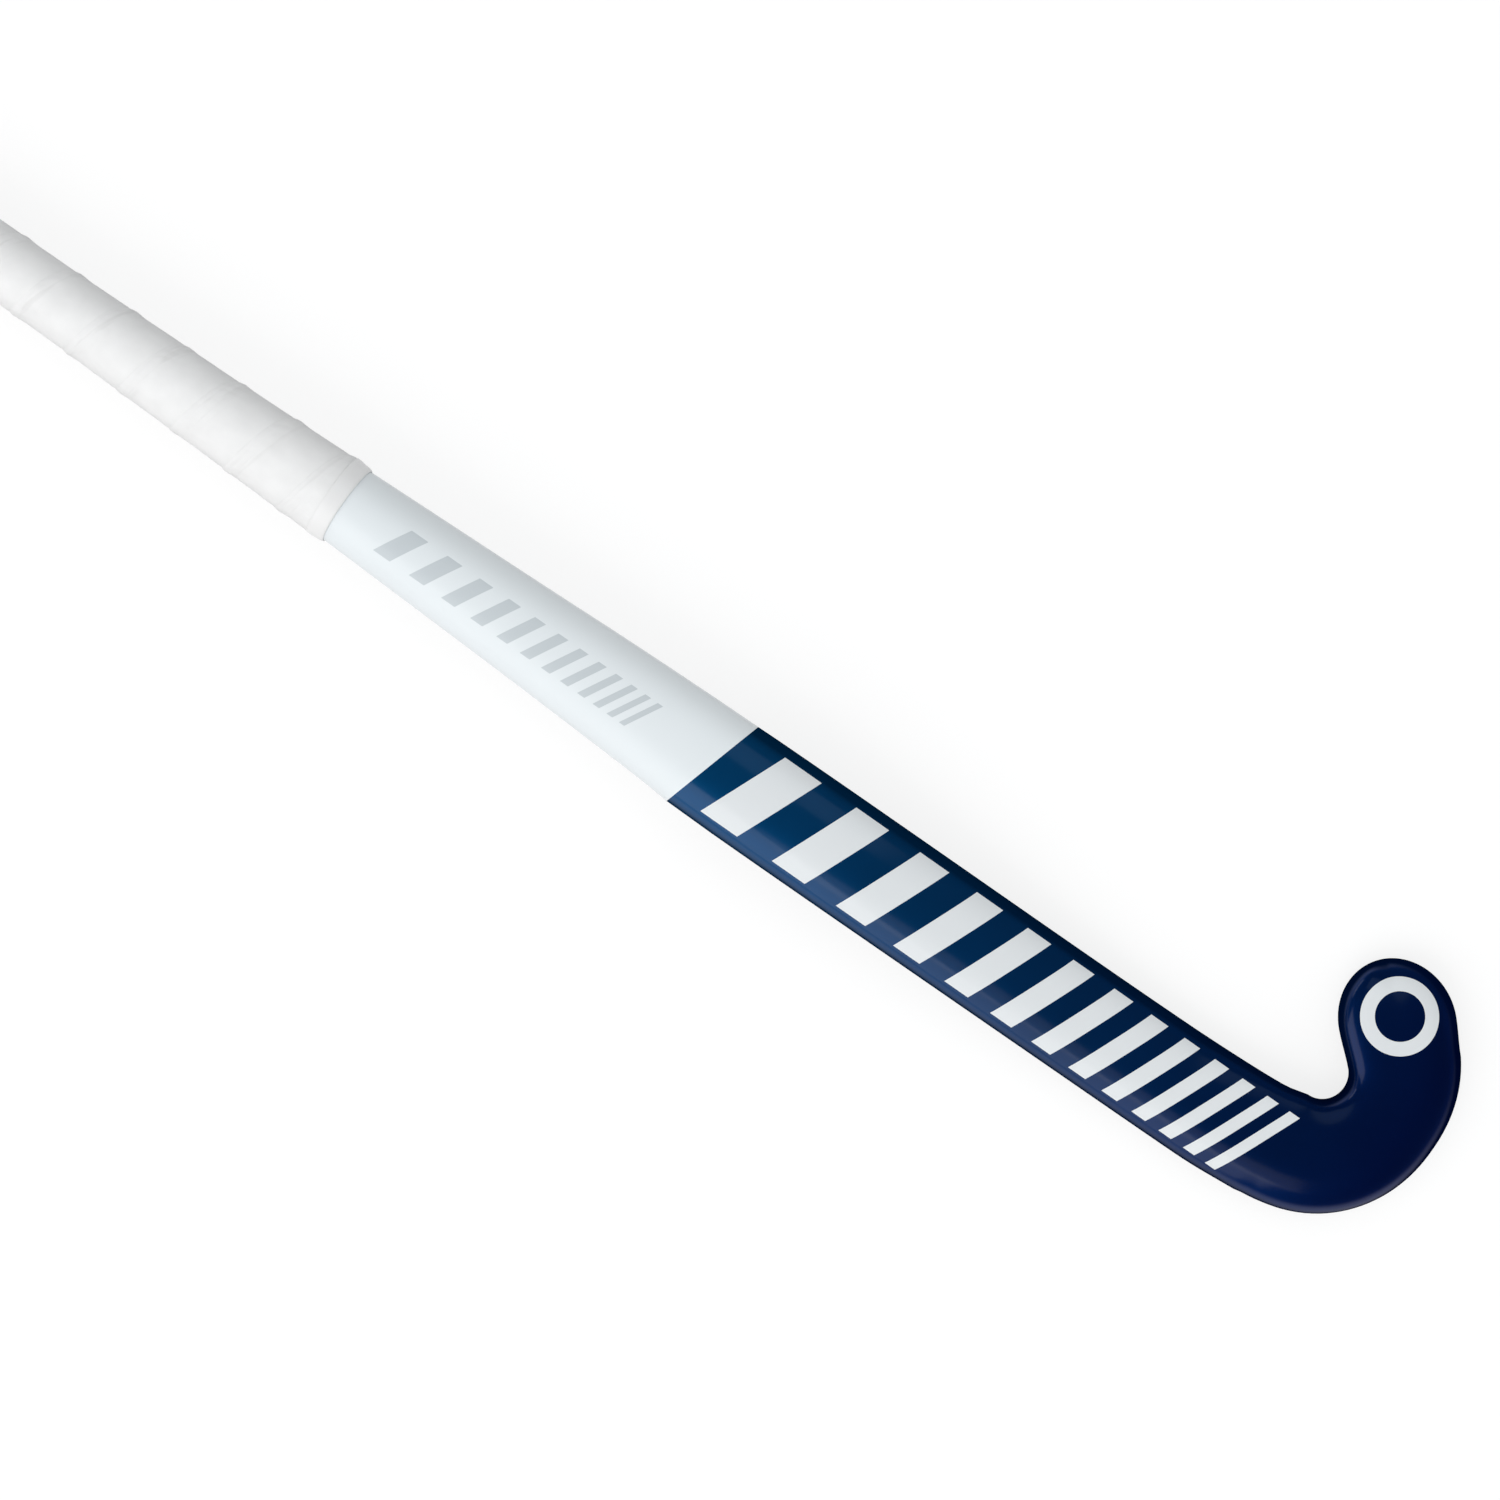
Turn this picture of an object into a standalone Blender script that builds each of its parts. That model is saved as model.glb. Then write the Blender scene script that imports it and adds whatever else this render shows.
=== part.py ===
"""Indoor hockey stick with a bent, laminated head, lying on its flat playing face.

X runs from the butt to the head, +Y is the toe side and +Z the rounded back. The stick is a
band of timber strips bent round the notch, spliced to a cane handle, sheathed in lacquered
glass fibre and wound with grip tape. Each layer is the same section at another depth.
"""

import math
from collections import namedtuple

import bmesh
import bpy

# Overall sizes, in metres, with x measured from the butt
STICK_LENGTH = 0.889
GRIP_LENGTH = 0.4050
BOW_HEIGHT = 0.017
BOW_PEAK = 0.60
FACE_START = 0.80
BUTT_CLEARANCE = 0.0012

# Outline: distance of each edge from the handle's axis, as (x, distance)
TOE_SIDE_EDGE = (
    (0.0, 0.0117), (0.250, 0.0117), (0.330, 0.0128), (0.385, 0.0143), (0.430, 0.0157),
    (0.490, 0.0176), (0.520, 0.0187), (0.550, 0.0195), (0.580, 0.0201), (0.620, 0.0205),
    (0.740, 0.0211), (0.785, 0.0216), (0.802, 0.0221), (0.828, 0.0236), (0.8377, 0.0258),
)
HEEL_SIDE_EDGE = (
    (0.0, 0.0130), (0.250, 0.0130), (0.330, 0.0145), (0.385, 0.0160), (0.430, 0.0174),
    (0.490, 0.0194), (0.520, 0.0206), (0.550, 0.0219), (0.575, 0.0232), (0.592, 0.0235),
    (0.676, 0.0233), (0.762, 0.0230), (0.809, 0.0226), (0.8377, 0.0206),
)

# Head: a band bent round the notch, then a short straight toe with a round end
HEEL_REACH = 0.0513
NOTCH_X = STICK_LENGTH - HEEL_REACH
NOTCH_Y = 0.0359
NOTCH_RADIUS = 0.0101
HEEL_FULLNESS = 0.0040
HEEL_FULLNESS_POWER = 1.5
HEEL_FLARE = 0.0008
HEEL_FLARE_ANGLE = math.radians(15)
BEND_START = math.radians(-90)
BEND_END = math.radians(42)
TOE_STRAIGHT = 0.016
TOE_HALF_WIDTH = 0.0226
TOE_END_LENGTH = 0.0251
TOE_LEAN = 0.05

# Section: round in the hand, flat-faced with a full back at the blade
HANDLE_THICKNESS = 0.0258
BLADE_THICKNESS = 0.0192
HANDLE_WIDEST, BLADE_WIDEST = 0.50, 0.37
HANDLE_EDGE, BLADE_EDGE = 1.0, 0.27
HANDLE_POWER, BLADE_POWER = 2.0, 2.7
SHAPE_START, SHAPE_END = 0.36, 0.77

# Round the notch the back ends in a tighter shoulder, with a steep wall below it
SHOULDER_POWER = 4.6
SHOULDER_START = 0.79
SHOULDER_SHARE = 0.5

# Layers, as depths below the lacquered surface; outside it they are negative
GAP = 0.0003
SHEATH = 0.0008
TIMBER = SHEATH + 0.0004
END_GRAIN = 0.0005
BINDING_OUTSIDE = 0.00035
BINDING_INSIDE = TIMBER - GAP
TAPE_BASE = 0.00005
TAPE_THICKNESS = 0.0013
TAPE_OUTSIDE = TAPE_BASE - TAPE_THICKNESS

# Colour border of the sheath, slanted across the shaft
BORDER_X = 0.5756
BORDER_SLANT = 0.288

# Timber: bent strips in the head, a cane wedge with rubber springs in the handle
STRIP_COUNT = 10
STRIP_FEATHER = 0.006
SPLICE_TOP = 0.424
SPLICE_TIP = 0.556
SPLICE_BLUNTING = 0.008
LEAST_WIDTH = 0.0008
LEAST_SPACING = 0.003
OUTER_STRIP_SHARES = (0.0, 0.5, 0.85, 1.0)
TOE_STRIP_STEPS = 4
TOE_STRIP_REACH = 0.985
TOE_STRIP_MARGIN = math.radians(3)
CANE_LEVELS = (0.0, 0.30, 0.70, 1.0)
CANE_GAP = 0.0004
RUBBER_THICKNESS = 0.0016
SLAB_SHARES = (0.0, 0.35, 0.7, 1.0)

# Grip
CAP_THICKNESS = 0.003
CAP_SKIRT = 0.012
CAP_EDGE = 0.0012
GRIP_RING = 0.0048
RING_SHOULDER = 0.0012
RING_LIP = 0.0005
TAPE_START = CAP_THICKNESS + GAP
TAPE_END = GRIP_LENGTH - GRIP_RING - GAP
TAPE_WIDTH = 0.0288
TAPE_PITCH = 0.02525
TAPE_LAP = TAPE_WIDTH - TAPE_PITCH
TAPE_FIRST_ANGLE = math.radians(230)
LEAST_TAPE_STEP = 0.00025
STEPS_PER_TURN = 24

# Skived tape: distance from its upper edge, then how high its inside and outside stand
TAPE_PROFILE = (
    (0.0, 0.00157, 0.00187),
    (TAPE_LAP + 0.0005, 0.00072, 0.00162),
    (TAPE_LAP + 0.0027, 0.0, TAPE_THICKNESS),
    (TAPE_PITCH - 0.0008, 0.0, TAPE_THICKNESS),
    (TAPE_WIDTH, 0.0, 0.0003),
)

# Stations
HANDLE_STATIONS = (0.06, 0.12, 0.18, 0.25, 0.30, 0.34, 0.375, 0.404)
SHAFT_STATIONS = (0.430, 0.465, 0.500, 0.535)
BLADE_STATIONS = (0.612, 0.650, 0.690, 0.725, 0.755, 0.785, 0.808, 0.824)
BEND_STEPS = 15
TOE_END_ANGLES = tuple(math.radians(a) for a in (0, 18, 35, 50, 64, 76, 85))
BACK_ANGLES = (0, 14, 26, 37, 53, 72, 90, 108, 127, 143, 154, 166, 180)
FACE_ANGLES = (-162, -151, -143, -137, -120, -105, -90, -75, -60, -43, -37, -29, -18)
SHEATH_ANGLES = tuple(math.radians(a) for a in BACK_ANGLES + FACE_ANGLES)
ROUND_ANGLES = tuple(2 * math.pi * i / STEPS_PER_TURN for i in range(STEPS_PER_TURN))

# The model's origin: under the middle of the whole stick
TOE_TOP = 0.0919
HEEL_BOTTOM = 0.0235
ORIGIN_X = STICK_LENGTH / 2
ORIGIN_Y = (TOE_TOP - HEEL_BOTTOM) / 2

Rib = namedtuple(
    "Rib", "middle heading across half end beta face thickness widest edge power shoulder"
)


def clear_scene():
    for obj in list(bpy.data.objects):
        bpy.data.objects.remove(obj, do_unlink=True)


def smooth_step(value, low, high):
    t = min(max((value - low) / (high - low), 0.0), 1.0)
    return t * t * (3 - 2 * t)


def mix(a, b, t):
    return a + (b - a) * t


def curve_through(stations, x):
    """A smooth curve through the stations that never overshoots them."""
    xs = [s[0] for s in stations]
    ys = [s[1] for s in stations]
    if x <= xs[0]:
        return ys[0]
    if x >= xs[-1]:
        return ys[-1]
    steps = [(ys[i + 1] - ys[i]) / (xs[i + 1] - xs[i]) for i in range(len(xs) - 1)]
    slopes = [steps[0]]
    for before, after in zip(steps, steps[1:]):
        level = before * after <= 0
        slopes.append(0.0 if level else 2 * before * after / (before + after))
    slopes.append(steps[-1])
    i = max(k for k in range(len(xs) - 1) if xs[k] <= x)
    width = xs[i + 1] - xs[i]
    t = (x - xs[i]) / width
    return (
        ys[i] * (1 + 2 * t) * (1 - t) ** 2
        + ys[i + 1] * t * t * (3 - 2 * t)
        + width * t * (1 - t) * (slopes[i] * (1 - t) - slopes[i + 1] * t)
    )


def face_height(x):
    """The bow: how high the playing face stands above the ground."""
    if x <= BOW_PEAK:
        fall = (BOW_PEAK - x) / BOW_PEAK
        return BOW_HEIGHT - (BOW_HEIGHT - BUTT_CLEARANCE) * fall**2
    return BOW_HEIGHT * (1 - smooth_step(x, BOW_PEAK, FACE_START))


def make_rib(x, middle, heading, across, half, end=1.0, beta=0.0):
    """One crosswise station of the stick, with the shape of its section."""
    t = smooth_step(x, SHAPE_START, SHAPE_END)
    thickness = mix(HANDLE_THICKNESS, BLADE_THICKNESS, t)
    power = mix(HANDLE_POWER, BLADE_POWER, t)
    return Rib(
        middle, heading, across, half, end, beta, face_height(x), thickness,
        thickness * mix(HANDLE_WIDEST, BLADE_WIDEST, t),
        half * mix(HANDLE_EDGE, BLADE_EDGE, t),
        power,
        mix(power, SHOULDER_POWER, smooth_step(x, SHOULDER_START, NOTCH_X)),
    )


def straight_rib(x):
    toe_side = curve_through(TOE_SIDE_EDGE, x)
    heel_side = curve_through(HEEL_SIDE_EDGE, x)
    middle = (x, (toe_side - heel_side) / 2)
    return make_rib(x, middle, (1, 0), (0, 1), (toe_side + heel_side) / 2)


def heel_radius(angle):
    flare = max(0.0, (BEND_START + HEEL_FLARE_ANGLE - angle) / HEEL_FLARE_ANGLE)
    fullness = HEEL_FULLNESS * abs(math.sin(angle)) ** HEEL_FULLNESS_POWER
    return HEEL_REACH + fullness + HEEL_FLARE * flare**2


def bend_rib(angle):
    """A rib that points at the notch's centre."""
    out = (math.cos(angle), math.sin(angle))
    heel = heel_radius(angle)
    reach = (heel + NOTCH_RADIUS) / 2
    middle = (NOTCH_X + out[0] * reach, NOTCH_Y + out[1] * reach)
    return make_rib(
        middle[0], middle, (-out[1], out[0]), (-out[0], -out[1]), (heel - NOTCH_RADIUS) / 2
    )


def toe_rib(along, beta=0.0):
    """A rib of the toe, or with beta one of its round end."""
    last = bend_rib(BEND_END)
    heading = tuple(h + TOE_LEAN * a for h, a in zip(last.heading, last.across))
    middle = tuple(m + h * along for m, h in zip(last.middle, heading))
    half = mix(last.half, TOE_HALF_WIDTH, smooth_step(along, 0, TOE_STRAIGHT))
    return make_rib(STICK_LENGTH, middle, heading, last.across, half, TOE_END_LENGTH, beta)


def head_ribs():
    """From the end of the straight shaft round the bend to the tip of the toe."""
    turn = (BEND_END - BEND_START) / BEND_STEPS
    ribs = [bend_rib(BEND_START + turn * i) for i in range(BEND_STEPS + 1)]
    ribs.append(toe_rib(TOE_STRAIGHT / 2))
    return ribs + [toe_rib(TOE_STRAIGHT, beta) for beta in TOE_END_ANGLES]


def half_width(rib, depth):
    return (rib.half - depth) * math.cos(rib.beta)


def section_point(rib, offset, depth, on_back):
    """A point of the section at this offset from its middle and depth below the lacquer."""
    half = rib.half - depth
    ratio = min(1.0, math.hypot(math.sin(rib.beta), offset / half))
    if on_back:
        notch_side = smooth_step(offset / half, 0.0, SHOULDER_SHARE)
        power = mix(rib.power, rib.shoulder, notch_side)
        rise = (1 - ratio**power) ** (1 / power)
        height = rib.widest + (rib.thickness - depth - rib.widest) * rise
    else:
        edge = max(rib.edge - depth, LEAST_WIDTH)
        past = min(1.0, max(0.0, (ratio * half - (half - edge)) / edge))
        height = rib.widest - (rib.widest - depth) * math.sqrt(1 - past**2)
    ahead = (rib.end - depth) * math.sin(rib.beta)
    x = rib.middle[0] + rib.heading[0] * ahead + rib.across[0] * offset
    y = rib.middle[1] + rib.heading[1] * ahead + rib.across[1] * offset
    return (x, y, rib.face + height)


def section_ring(rib, depth, angles, slant=0.0):
    """The whole section, sampled at the given angles from the toe side over the back."""
    ring = []
    for angle in angles:
        offset = half_width(rib, depth) * math.cos(angle)
        x, y, z = section_point(rib, offset, depth, math.sin(angle) > -1e-9)
        ring.append((x + slant * y, y, z))
    return ring


def width_at_height(rib, height, depth):
    """Half the section's width at this height above the face."""
    if height >= rib.widest:
        share = (height - rib.widest) / (rib.thickness - depth - rib.widest)
        return (rib.half - depth) * max(0.0, 1 - share**rib.power) ** (1 / rib.power)
    share = min(1.0, (rib.widest - height) / (rib.widest - depth))
    edge = rib.edge - depth
    return (rib.half - depth) - edge + edge * math.sqrt(1 - share**2)


def make_material(name, colour, roughness, metallic=0.0):
    material = bpy.data.materials.new(name)
    material.use_nodes = True
    shader = material.node_tree.nodes["Principled BSDF"]
    shader.inputs["Base Color"].default_value = (*colour, 1.0)
    shader.inputs["Roughness"].default_value = roughness
    shader.inputs["Metallic"].default_value = metallic
    return material


def loft(name, rings, material, closed=False, sharp_angle=35):
    """A closed body through rings of equally many points, capped at its ends or joined up."""
    bm = bmesh.new()
    rows = [
        [bm.verts.new((x - ORIGIN_X, y - ORIGIN_Y, z)) for x, y, z in ring] for ring in rings
    ]
    pairs = list(zip(rows, rows[1:]))
    if closed:
        pairs.append((rows[-1], rows[0]))
    for near, far in pairs:
        for i in range(len(near)):
            j = (i + 1) % len(near)
            bm.faces.new((near[i], near[j], far[j], far[i]))
    if not closed:
        bm.faces.new(rows[0])
        bm.faces.new(rows[-1])
    bmesh.ops.recalc_face_normals(bm, faces=bm.faces)
    mesh = bpy.data.meshes.new(name)
    bm.to_mesh(mesh)
    bm.free()
    mesh.materials.append(material)
    mesh.shade_smooth()
    mesh.set_sharp_from_angle(angle=math.radians(sharp_angle))
    obj = bpy.data.objects.new(name, mesh)
    bpy.context.scene.collection.objects.link(obj)
    return obj


def border_ring(depth, side):
    """The slanted ring where the two colours of the sheath meet, half a gap to one side."""
    x = BORDER_X + side * GAP / 2
    return section_ring(straight_rib(x), depth, SHEATH_ANGLES, slant=BORDER_SLANT)


def make_head_sheath():
    """The navy part: a thin shell over the blade and head, closed at the toe."""
    ribs = [straight_rib(x) for x in BLADE_STATIONS] + head_ribs()
    outside = [border_ring(0.0, 1)] + [section_ring(r, 0.0, SHEATH_ANGLES) for r in ribs]
    inside = [border_ring(SHEATH, 1)] + [section_ring(r, SHEATH, SHEATH_ANGLES) for r in ribs]
    navy = make_material("navy_lacquer", (0.001, 0.024, 0.080), 0.3)
    return loft("head_sheath", outside[::-1] + inside, navy)


def make_shaft_sheath():
    """The white part: an open tube from the grip's end to the slanted border."""
    stations = (GRIP_LENGTH - GRIP_RING, GRIP_LENGTH + 0.012) + SHAFT_STATIONS
    ribs = [straight_rib(x) for x in stations]
    outside = [section_ring(r, 0.0, SHEATH_ANGLES) for r in ribs] + [border_ring(0.0, -1)]
    inside = [section_ring(r, SHEATH, SHEATH_ANGLES) for r in ribs] + [border_ring(SHEATH, -1)]
    white = make_material("white_lacquer", (0.82, 0.87, 0.89), 0.3)
    return loft("shaft_sheath", outside + inside[::-1], white, closed=True)


def wedge_share(x):
    """The share of the width that the handle's wedge takes in the V splice."""
    return min(1.0, max(0.0, (SPLICE_TIP - x) / (SPLICE_TIP - SPLICE_TOP)))


def strip_ring(rib, depth, low, high, outer):
    """A strip's own section between two offsets; an outermost strip has the band's edge."""
    shares = OUTER_STRIP_SHARES if outer else (0.0, 1.0)
    offsets = [mix(low, high, share) for share in shares]
    back = [section_point(rib, offset, depth, True) for offset in offsets]
    face = [section_point(rib, offset, depth, False) for offset in offsets[::-1]]
    return back + (face[1:] if outer else face)


def strip_limits(rib, depth, inner, rim, side):
    """The strip's two offsets from the middle, half a glue gap inside its share of the width."""
    half = half_width(rib, depth)
    low = side * (inner * half + GAP / 2)
    high = side * (half if rim >= 1 else rim * half - GAP / 2)
    return low, high


def toe_strip_rings(inner, rim, side):
    """A strip's last rings, where the round end of the toe cuts it off."""
    depth = TIMBER + END_GRAIN
    square = toe_rib(TOE_STRAIGHT)
    low, high = strip_limits(square, depth, inner, rim, side)
    width = square.half - depth
    last = math.acos(min(1.0, (abs(low) + LEAST_WIDTH) / width)) - TOE_STRIP_MARGIN
    rings = []
    for step in range(1, TOE_STRIP_STEPS + 1):
        rib = toe_rib(TOE_STRAIGHT, last * step / TOE_STRIP_STEPS)
        reach = half_width(rib, depth) * (1.0 if rim >= 1 else TOE_STRIP_REACH)
        cut = side * min(abs(high), reach)
        rings.append(strip_ring(rib, depth, low, cut, rim >= 1))
    return rings


def make_strip(number, timber):
    """One bent strip, from the toe round the heel and up beside the handle's wedge."""
    half_count = STRIP_COUNT // 2
    side = 1 if number >= half_count else -1
    place = number - half_count if side > 0 else half_count - 1 - number
    inner, rim = place / half_count, (place + 1) / half_count
    outer = rim >= 1
    reach = SPLICE_TIP - SPLICE_TOP
    cut_starts = SPLICE_TIP - inner * reach
    ends = SPLICE_TIP - rim * reach + STRIP_FEATHER
    shared = SHAFT_STATIONS + (BORDER_X,) + BLADE_STATIONS
    stations = sorted([ends, cut_starts] + [x for x in shared if x > ends + LEAST_SPACING])
    rings = []
    for x in stations:
        rib = straight_rib(x)
        share = max(inner, wedge_share(x))
        low, high = strip_limits(rib, TIMBER, share, rim, side)
        rings.append(strip_ring(rib, TIMBER, low, high, outer))
    for rib in head_ribs()[:-len(TOE_END_ANGLES)]:
        low, high = strip_limits(rib, TIMBER, inner, rim, side)
        rings.append(strip_ring(rib, TIMBER, low, high, outer))
    rings += toe_strip_rings(inner, rim, side)
    return loft(f"head_strip_{number + 1:02d}", rings, timber)


def slab_ring(rib, low, high):
    """A level slice of the handle between two heights above the face."""
    wedge = wedge_share(rib.middle[0]) * (rib.half - TIMBER) - GAP
    right, left = [], []
    for share in SLAB_SHARES:
        height = mix(low, high, share)
        wide = max(LEAST_WIDTH, min(width_at_height(rib, height, TIMBER), wedge))
        right.append((rib.middle[0], rib.middle[1] + wide, rib.face + height))
        left.append((rib.middle[0], rib.middle[1] - wide, rib.face + height))
    return right + left[::-1]


def make_handle():
    """Three slabs of cane with two rubber springs between them, cut to a wedge at the end."""
    stations = (CAP_THICKNESS + GAP,) + HANDLE_STATIONS
    stations += (SPLICE_TOP, 0.46, 0.50, 0.53, SPLICE_TIP - SPLICE_BLUNTING)
    ribs = [straight_rib(x) for x in stations]
    cane = make_material("cane", (0.62, 0.43, 0.22), 0.7)
    rubber = make_material("black_rubber", (0.02, 0.02, 0.02), 0.8)
    spring = RUBBER_THICKNESS / 2
    pieces = []
    for index in range(3):
        low_gap = CANE_GAP if index == 0 else spring + GAP
        high_gap = CANE_GAP if index == 2 else spring + GAP
        rings = []
        for rib in ribs:
            bottom, top = TIMBER, rib.thickness - TIMBER
            low = mix(bottom, top, CANE_LEVELS[index]) + low_gap
            high = mix(bottom, top, CANE_LEVELS[index + 1]) - high_gap
            rings.append(slab_ring(rib, low, high))
        pieces.append(loft(f"handle_cane_{index + 1}", rings, cane))
    for index in (1, 2):
        rings = []
        for rib in ribs:
            level = mix(TIMBER, rib.thickness - TIMBER, CANE_LEVELS[index])
            rings.append(slab_ring(rib, level - spring, level + spring))
        pieces.append(loft(f"rubber_spring_{index}", rings, rubber))
    return pieces


def make_binding():
    """The glued thread layer round the handle, under the grip."""
    stations = (CAP_SKIRT + GAP,) + HANDLE_STATIONS[1:-1] + (TAPE_END,)
    ribs = [straight_rib(x) for x in stations]
    outside = [section_ring(r, BINDING_OUTSIDE, ROUND_ANGLES) for r in ribs]
    inside = [section_ring(r, BINDING_INSIDE, ROUND_ANGLES) for r in ribs]
    thread = make_material("waxed_thread", (0.55, 0.50, 0.40), 0.8)
    return loft("handle_binding", outside + inside[::-1], thread, closed=True)


def make_butt_cap():
    """A rubber cap: a flat disc with a rounded rim and a thin skirt under the tape."""
    profile = (
        (CAP_THICKNESS, BINDING_INSIDE), (CAP_SKIRT, BINDING_INSIDE),
        (CAP_SKIRT, BINDING_OUTSIDE), (CAP_THICKNESS, BINDING_OUTSIDE),
        (CAP_THICKNESS, TAPE_OUTSIDE), (CAP_EDGE, TAPE_OUTSIDE),
        (CAP_EDGE * 0.3, TAPE_OUTSIDE + CAP_EDGE * 0.3), (0.0, TAPE_OUTSIDE + CAP_EDGE),
    )
    rings = [section_ring(straight_rib(x), depth, ROUND_ANGLES) for x, depth in profile]
    rubber = make_material("white_rubber", (0.78, 0.78, 0.77), 0.6)
    return loft("butt_cap", rings, rubber)


def make_grip_ring():
    """The narrow band that closes the grip's lower end, sloping down to the shaft."""
    top = GRIP_LENGTH - GRIP_RING + GAP
    profile = (
        (top, -GAP), (top, TAPE_OUTSIDE), (top + RING_SHOULDER, TAPE_OUTSIDE),
        (GRIP_LENGTH - RING_LIP, -GAP - RING_LIP), (GRIP_LENGTH, -GAP),
    )
    rings = [section_ring(straight_rib(x), depth, ROUND_ANGLES) for x, depth in profile]
    film = make_material("white_film", (0.86, 0.86, 0.86), 0.45)
    return loft("grip_ring", rings, film, closed=True)


def tape_heights(across):
    """How high the tape's inside and outside stand this far from its upper edge."""
    across = min(max(across, 0.0), TAPE_WIDTH)
    after = next(i for i, row in enumerate(TAPE_PROFILE) if i and across <= row[0])
    near, far = TAPE_PROFILE[after - 1], TAPE_PROFILE[after]
    t = (across - near[0]) / (far[0] - near[0])
    return mix(near[1], far[1], t), mix(near[2], far[2], t)


def tape_stations(edge):
    """Where the profile's rows lie at this turn, kept in order between the grip's two ends."""
    last_row = len(TAPE_PROFILE) - 1
    low = max(TAPE_START, edge)
    high = max(min(TAPE_END, edge + TAPE_WIDTH), low + last_row * LEAST_TAPE_STEP)
    stations = []
    for row, (across, _, _) in enumerate(TAPE_PROFILE):
        x = max(edge + across, low + row * LEAST_TAPE_STEP)
        stations.append(min(x, high - (last_row - row) * LEAST_TAPE_STEP))
    return stations


def tape_ring(turned):
    """The tape's own section where it has turned this far from its start at the butt."""
    edge = TAPE_START - TAPE_WIDTH + TAPE_PITCH * turned / (2 * math.pi)
    angle = TAPE_FIRST_ANGLE - turned
    outside, inside = [], []
    for x in tape_stations(edge):
        rib = straight_rib(x)
        low, high = tape_heights(x - edge)
        outside += section_ring(rib, TAPE_BASE - high, (angle,))
        inside += section_ring(rib, TAPE_BASE - low, (angle,))
    return outside + inside[::-1]


def point_to_edge(point, start, end):
    """The distance from a point to a straight edge."""
    along = [b - a for a, b in zip(start, end)]
    reach = sum(d * (p - a) for d, p, a in zip(along, point, start))
    t = min(max(reach / sum(d * d for d in along), 0.0), 1.0)
    return math.dist(point, [a + d * t for a, d in zip(start, along)])


def tape_gap(rings):
    """The least gap between a turn's outside and the inside of the turn that laps it."""
    rows = len(TAPE_PROFILE)
    least = TAPE_WIDTH
    for under, over in zip(rings, rings[STEPS_PER_TURN:]):
        outside, inside = under[:rows], over[rows:]
        for line, points in ((outside, inside), (inside, outside)):
            for start, end in zip(line, line[1:]):
                least = min(least, min(point_to_edge(p, start, end) for p in points))
    return least


def make_grip_tape():
    """One long tape wound left-handed from the butt down, each turn lapping the one before."""
    turns = (TAPE_END - TAPE_START + TAPE_WIDTH - LEAST_WIDTH) / TAPE_PITCH
    first = int(STEPS_PER_TURN * LEAST_WIDTH / TAPE_PITCH) + 1
    last = int(turns * STEPS_PER_TURN)
    turn = 2 * math.pi / STEPS_PER_TURN
    rings = [tape_ring(turn * step) for step in range(first, last + 1)]
    print(f"grip tape: {turns:.1f} turns, least gap to itself {tape_gap(rings) * 1000:.2f} mm")
    leather = make_material("white_grip", (0.87, 0.87, 0.87), 0.6)
    return loft("grip_tape", rings, leather)


def main():
    clear_scene()
    timber = make_material("mulberry", (0.72, 0.52, 0.27), 0.6)
    for number in range(STRIP_COUNT):
        make_strip(number, timber)
    make_handle()
    make_binding()
    make_head_sheath()
    make_shaft_sheath()
    make_butt_cap()
    make_grip_tape()
    make_grip_ring()


main()
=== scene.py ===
# %% [markdown]
# # An indoor hockey stick
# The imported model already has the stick's real build: bent mulberry strips and a cane handle
# inside, a skin of lacquered glass fibre round them, and a grip tape wound over the handle. This
# lesson gives the parts that show their finished surface. Each new piece repeats the measurements
# of the part that it stands for, so it lies exactly in its place.

import math
from collections import namedtuple

import bmesh
import bpy
from mathutils import Matrix, Vector, noise


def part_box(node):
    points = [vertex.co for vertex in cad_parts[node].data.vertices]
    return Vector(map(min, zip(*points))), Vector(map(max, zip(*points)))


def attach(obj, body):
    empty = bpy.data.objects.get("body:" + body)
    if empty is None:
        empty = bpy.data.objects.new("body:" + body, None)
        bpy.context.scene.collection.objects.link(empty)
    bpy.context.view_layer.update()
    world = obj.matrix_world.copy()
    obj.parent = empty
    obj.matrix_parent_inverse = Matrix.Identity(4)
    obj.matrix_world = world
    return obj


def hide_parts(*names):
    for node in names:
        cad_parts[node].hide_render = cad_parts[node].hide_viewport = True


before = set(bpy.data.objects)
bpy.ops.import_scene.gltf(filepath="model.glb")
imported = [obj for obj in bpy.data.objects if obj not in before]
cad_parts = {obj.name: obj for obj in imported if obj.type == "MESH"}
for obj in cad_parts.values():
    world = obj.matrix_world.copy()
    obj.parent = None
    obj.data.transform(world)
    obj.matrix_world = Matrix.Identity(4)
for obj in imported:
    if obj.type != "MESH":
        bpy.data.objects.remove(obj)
bpy.ops.object.select_all(action="DESELECT")
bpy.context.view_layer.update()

# %% [markdown]
# ## The stick in numbers
# All lengths are metres, with x measured from the butt and y from the axis of the handle. The
# outline is two rows of stations, one for each edge: a place along the stick, and how far the edge
# lies from that axis. The flat face is bowed: it is highest at BOW_PEAK and lies on the ground from
# FACE_START on. The outline could be drawn by hand over a picture, but a table keeps it exact and is
# easy to change.

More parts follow.
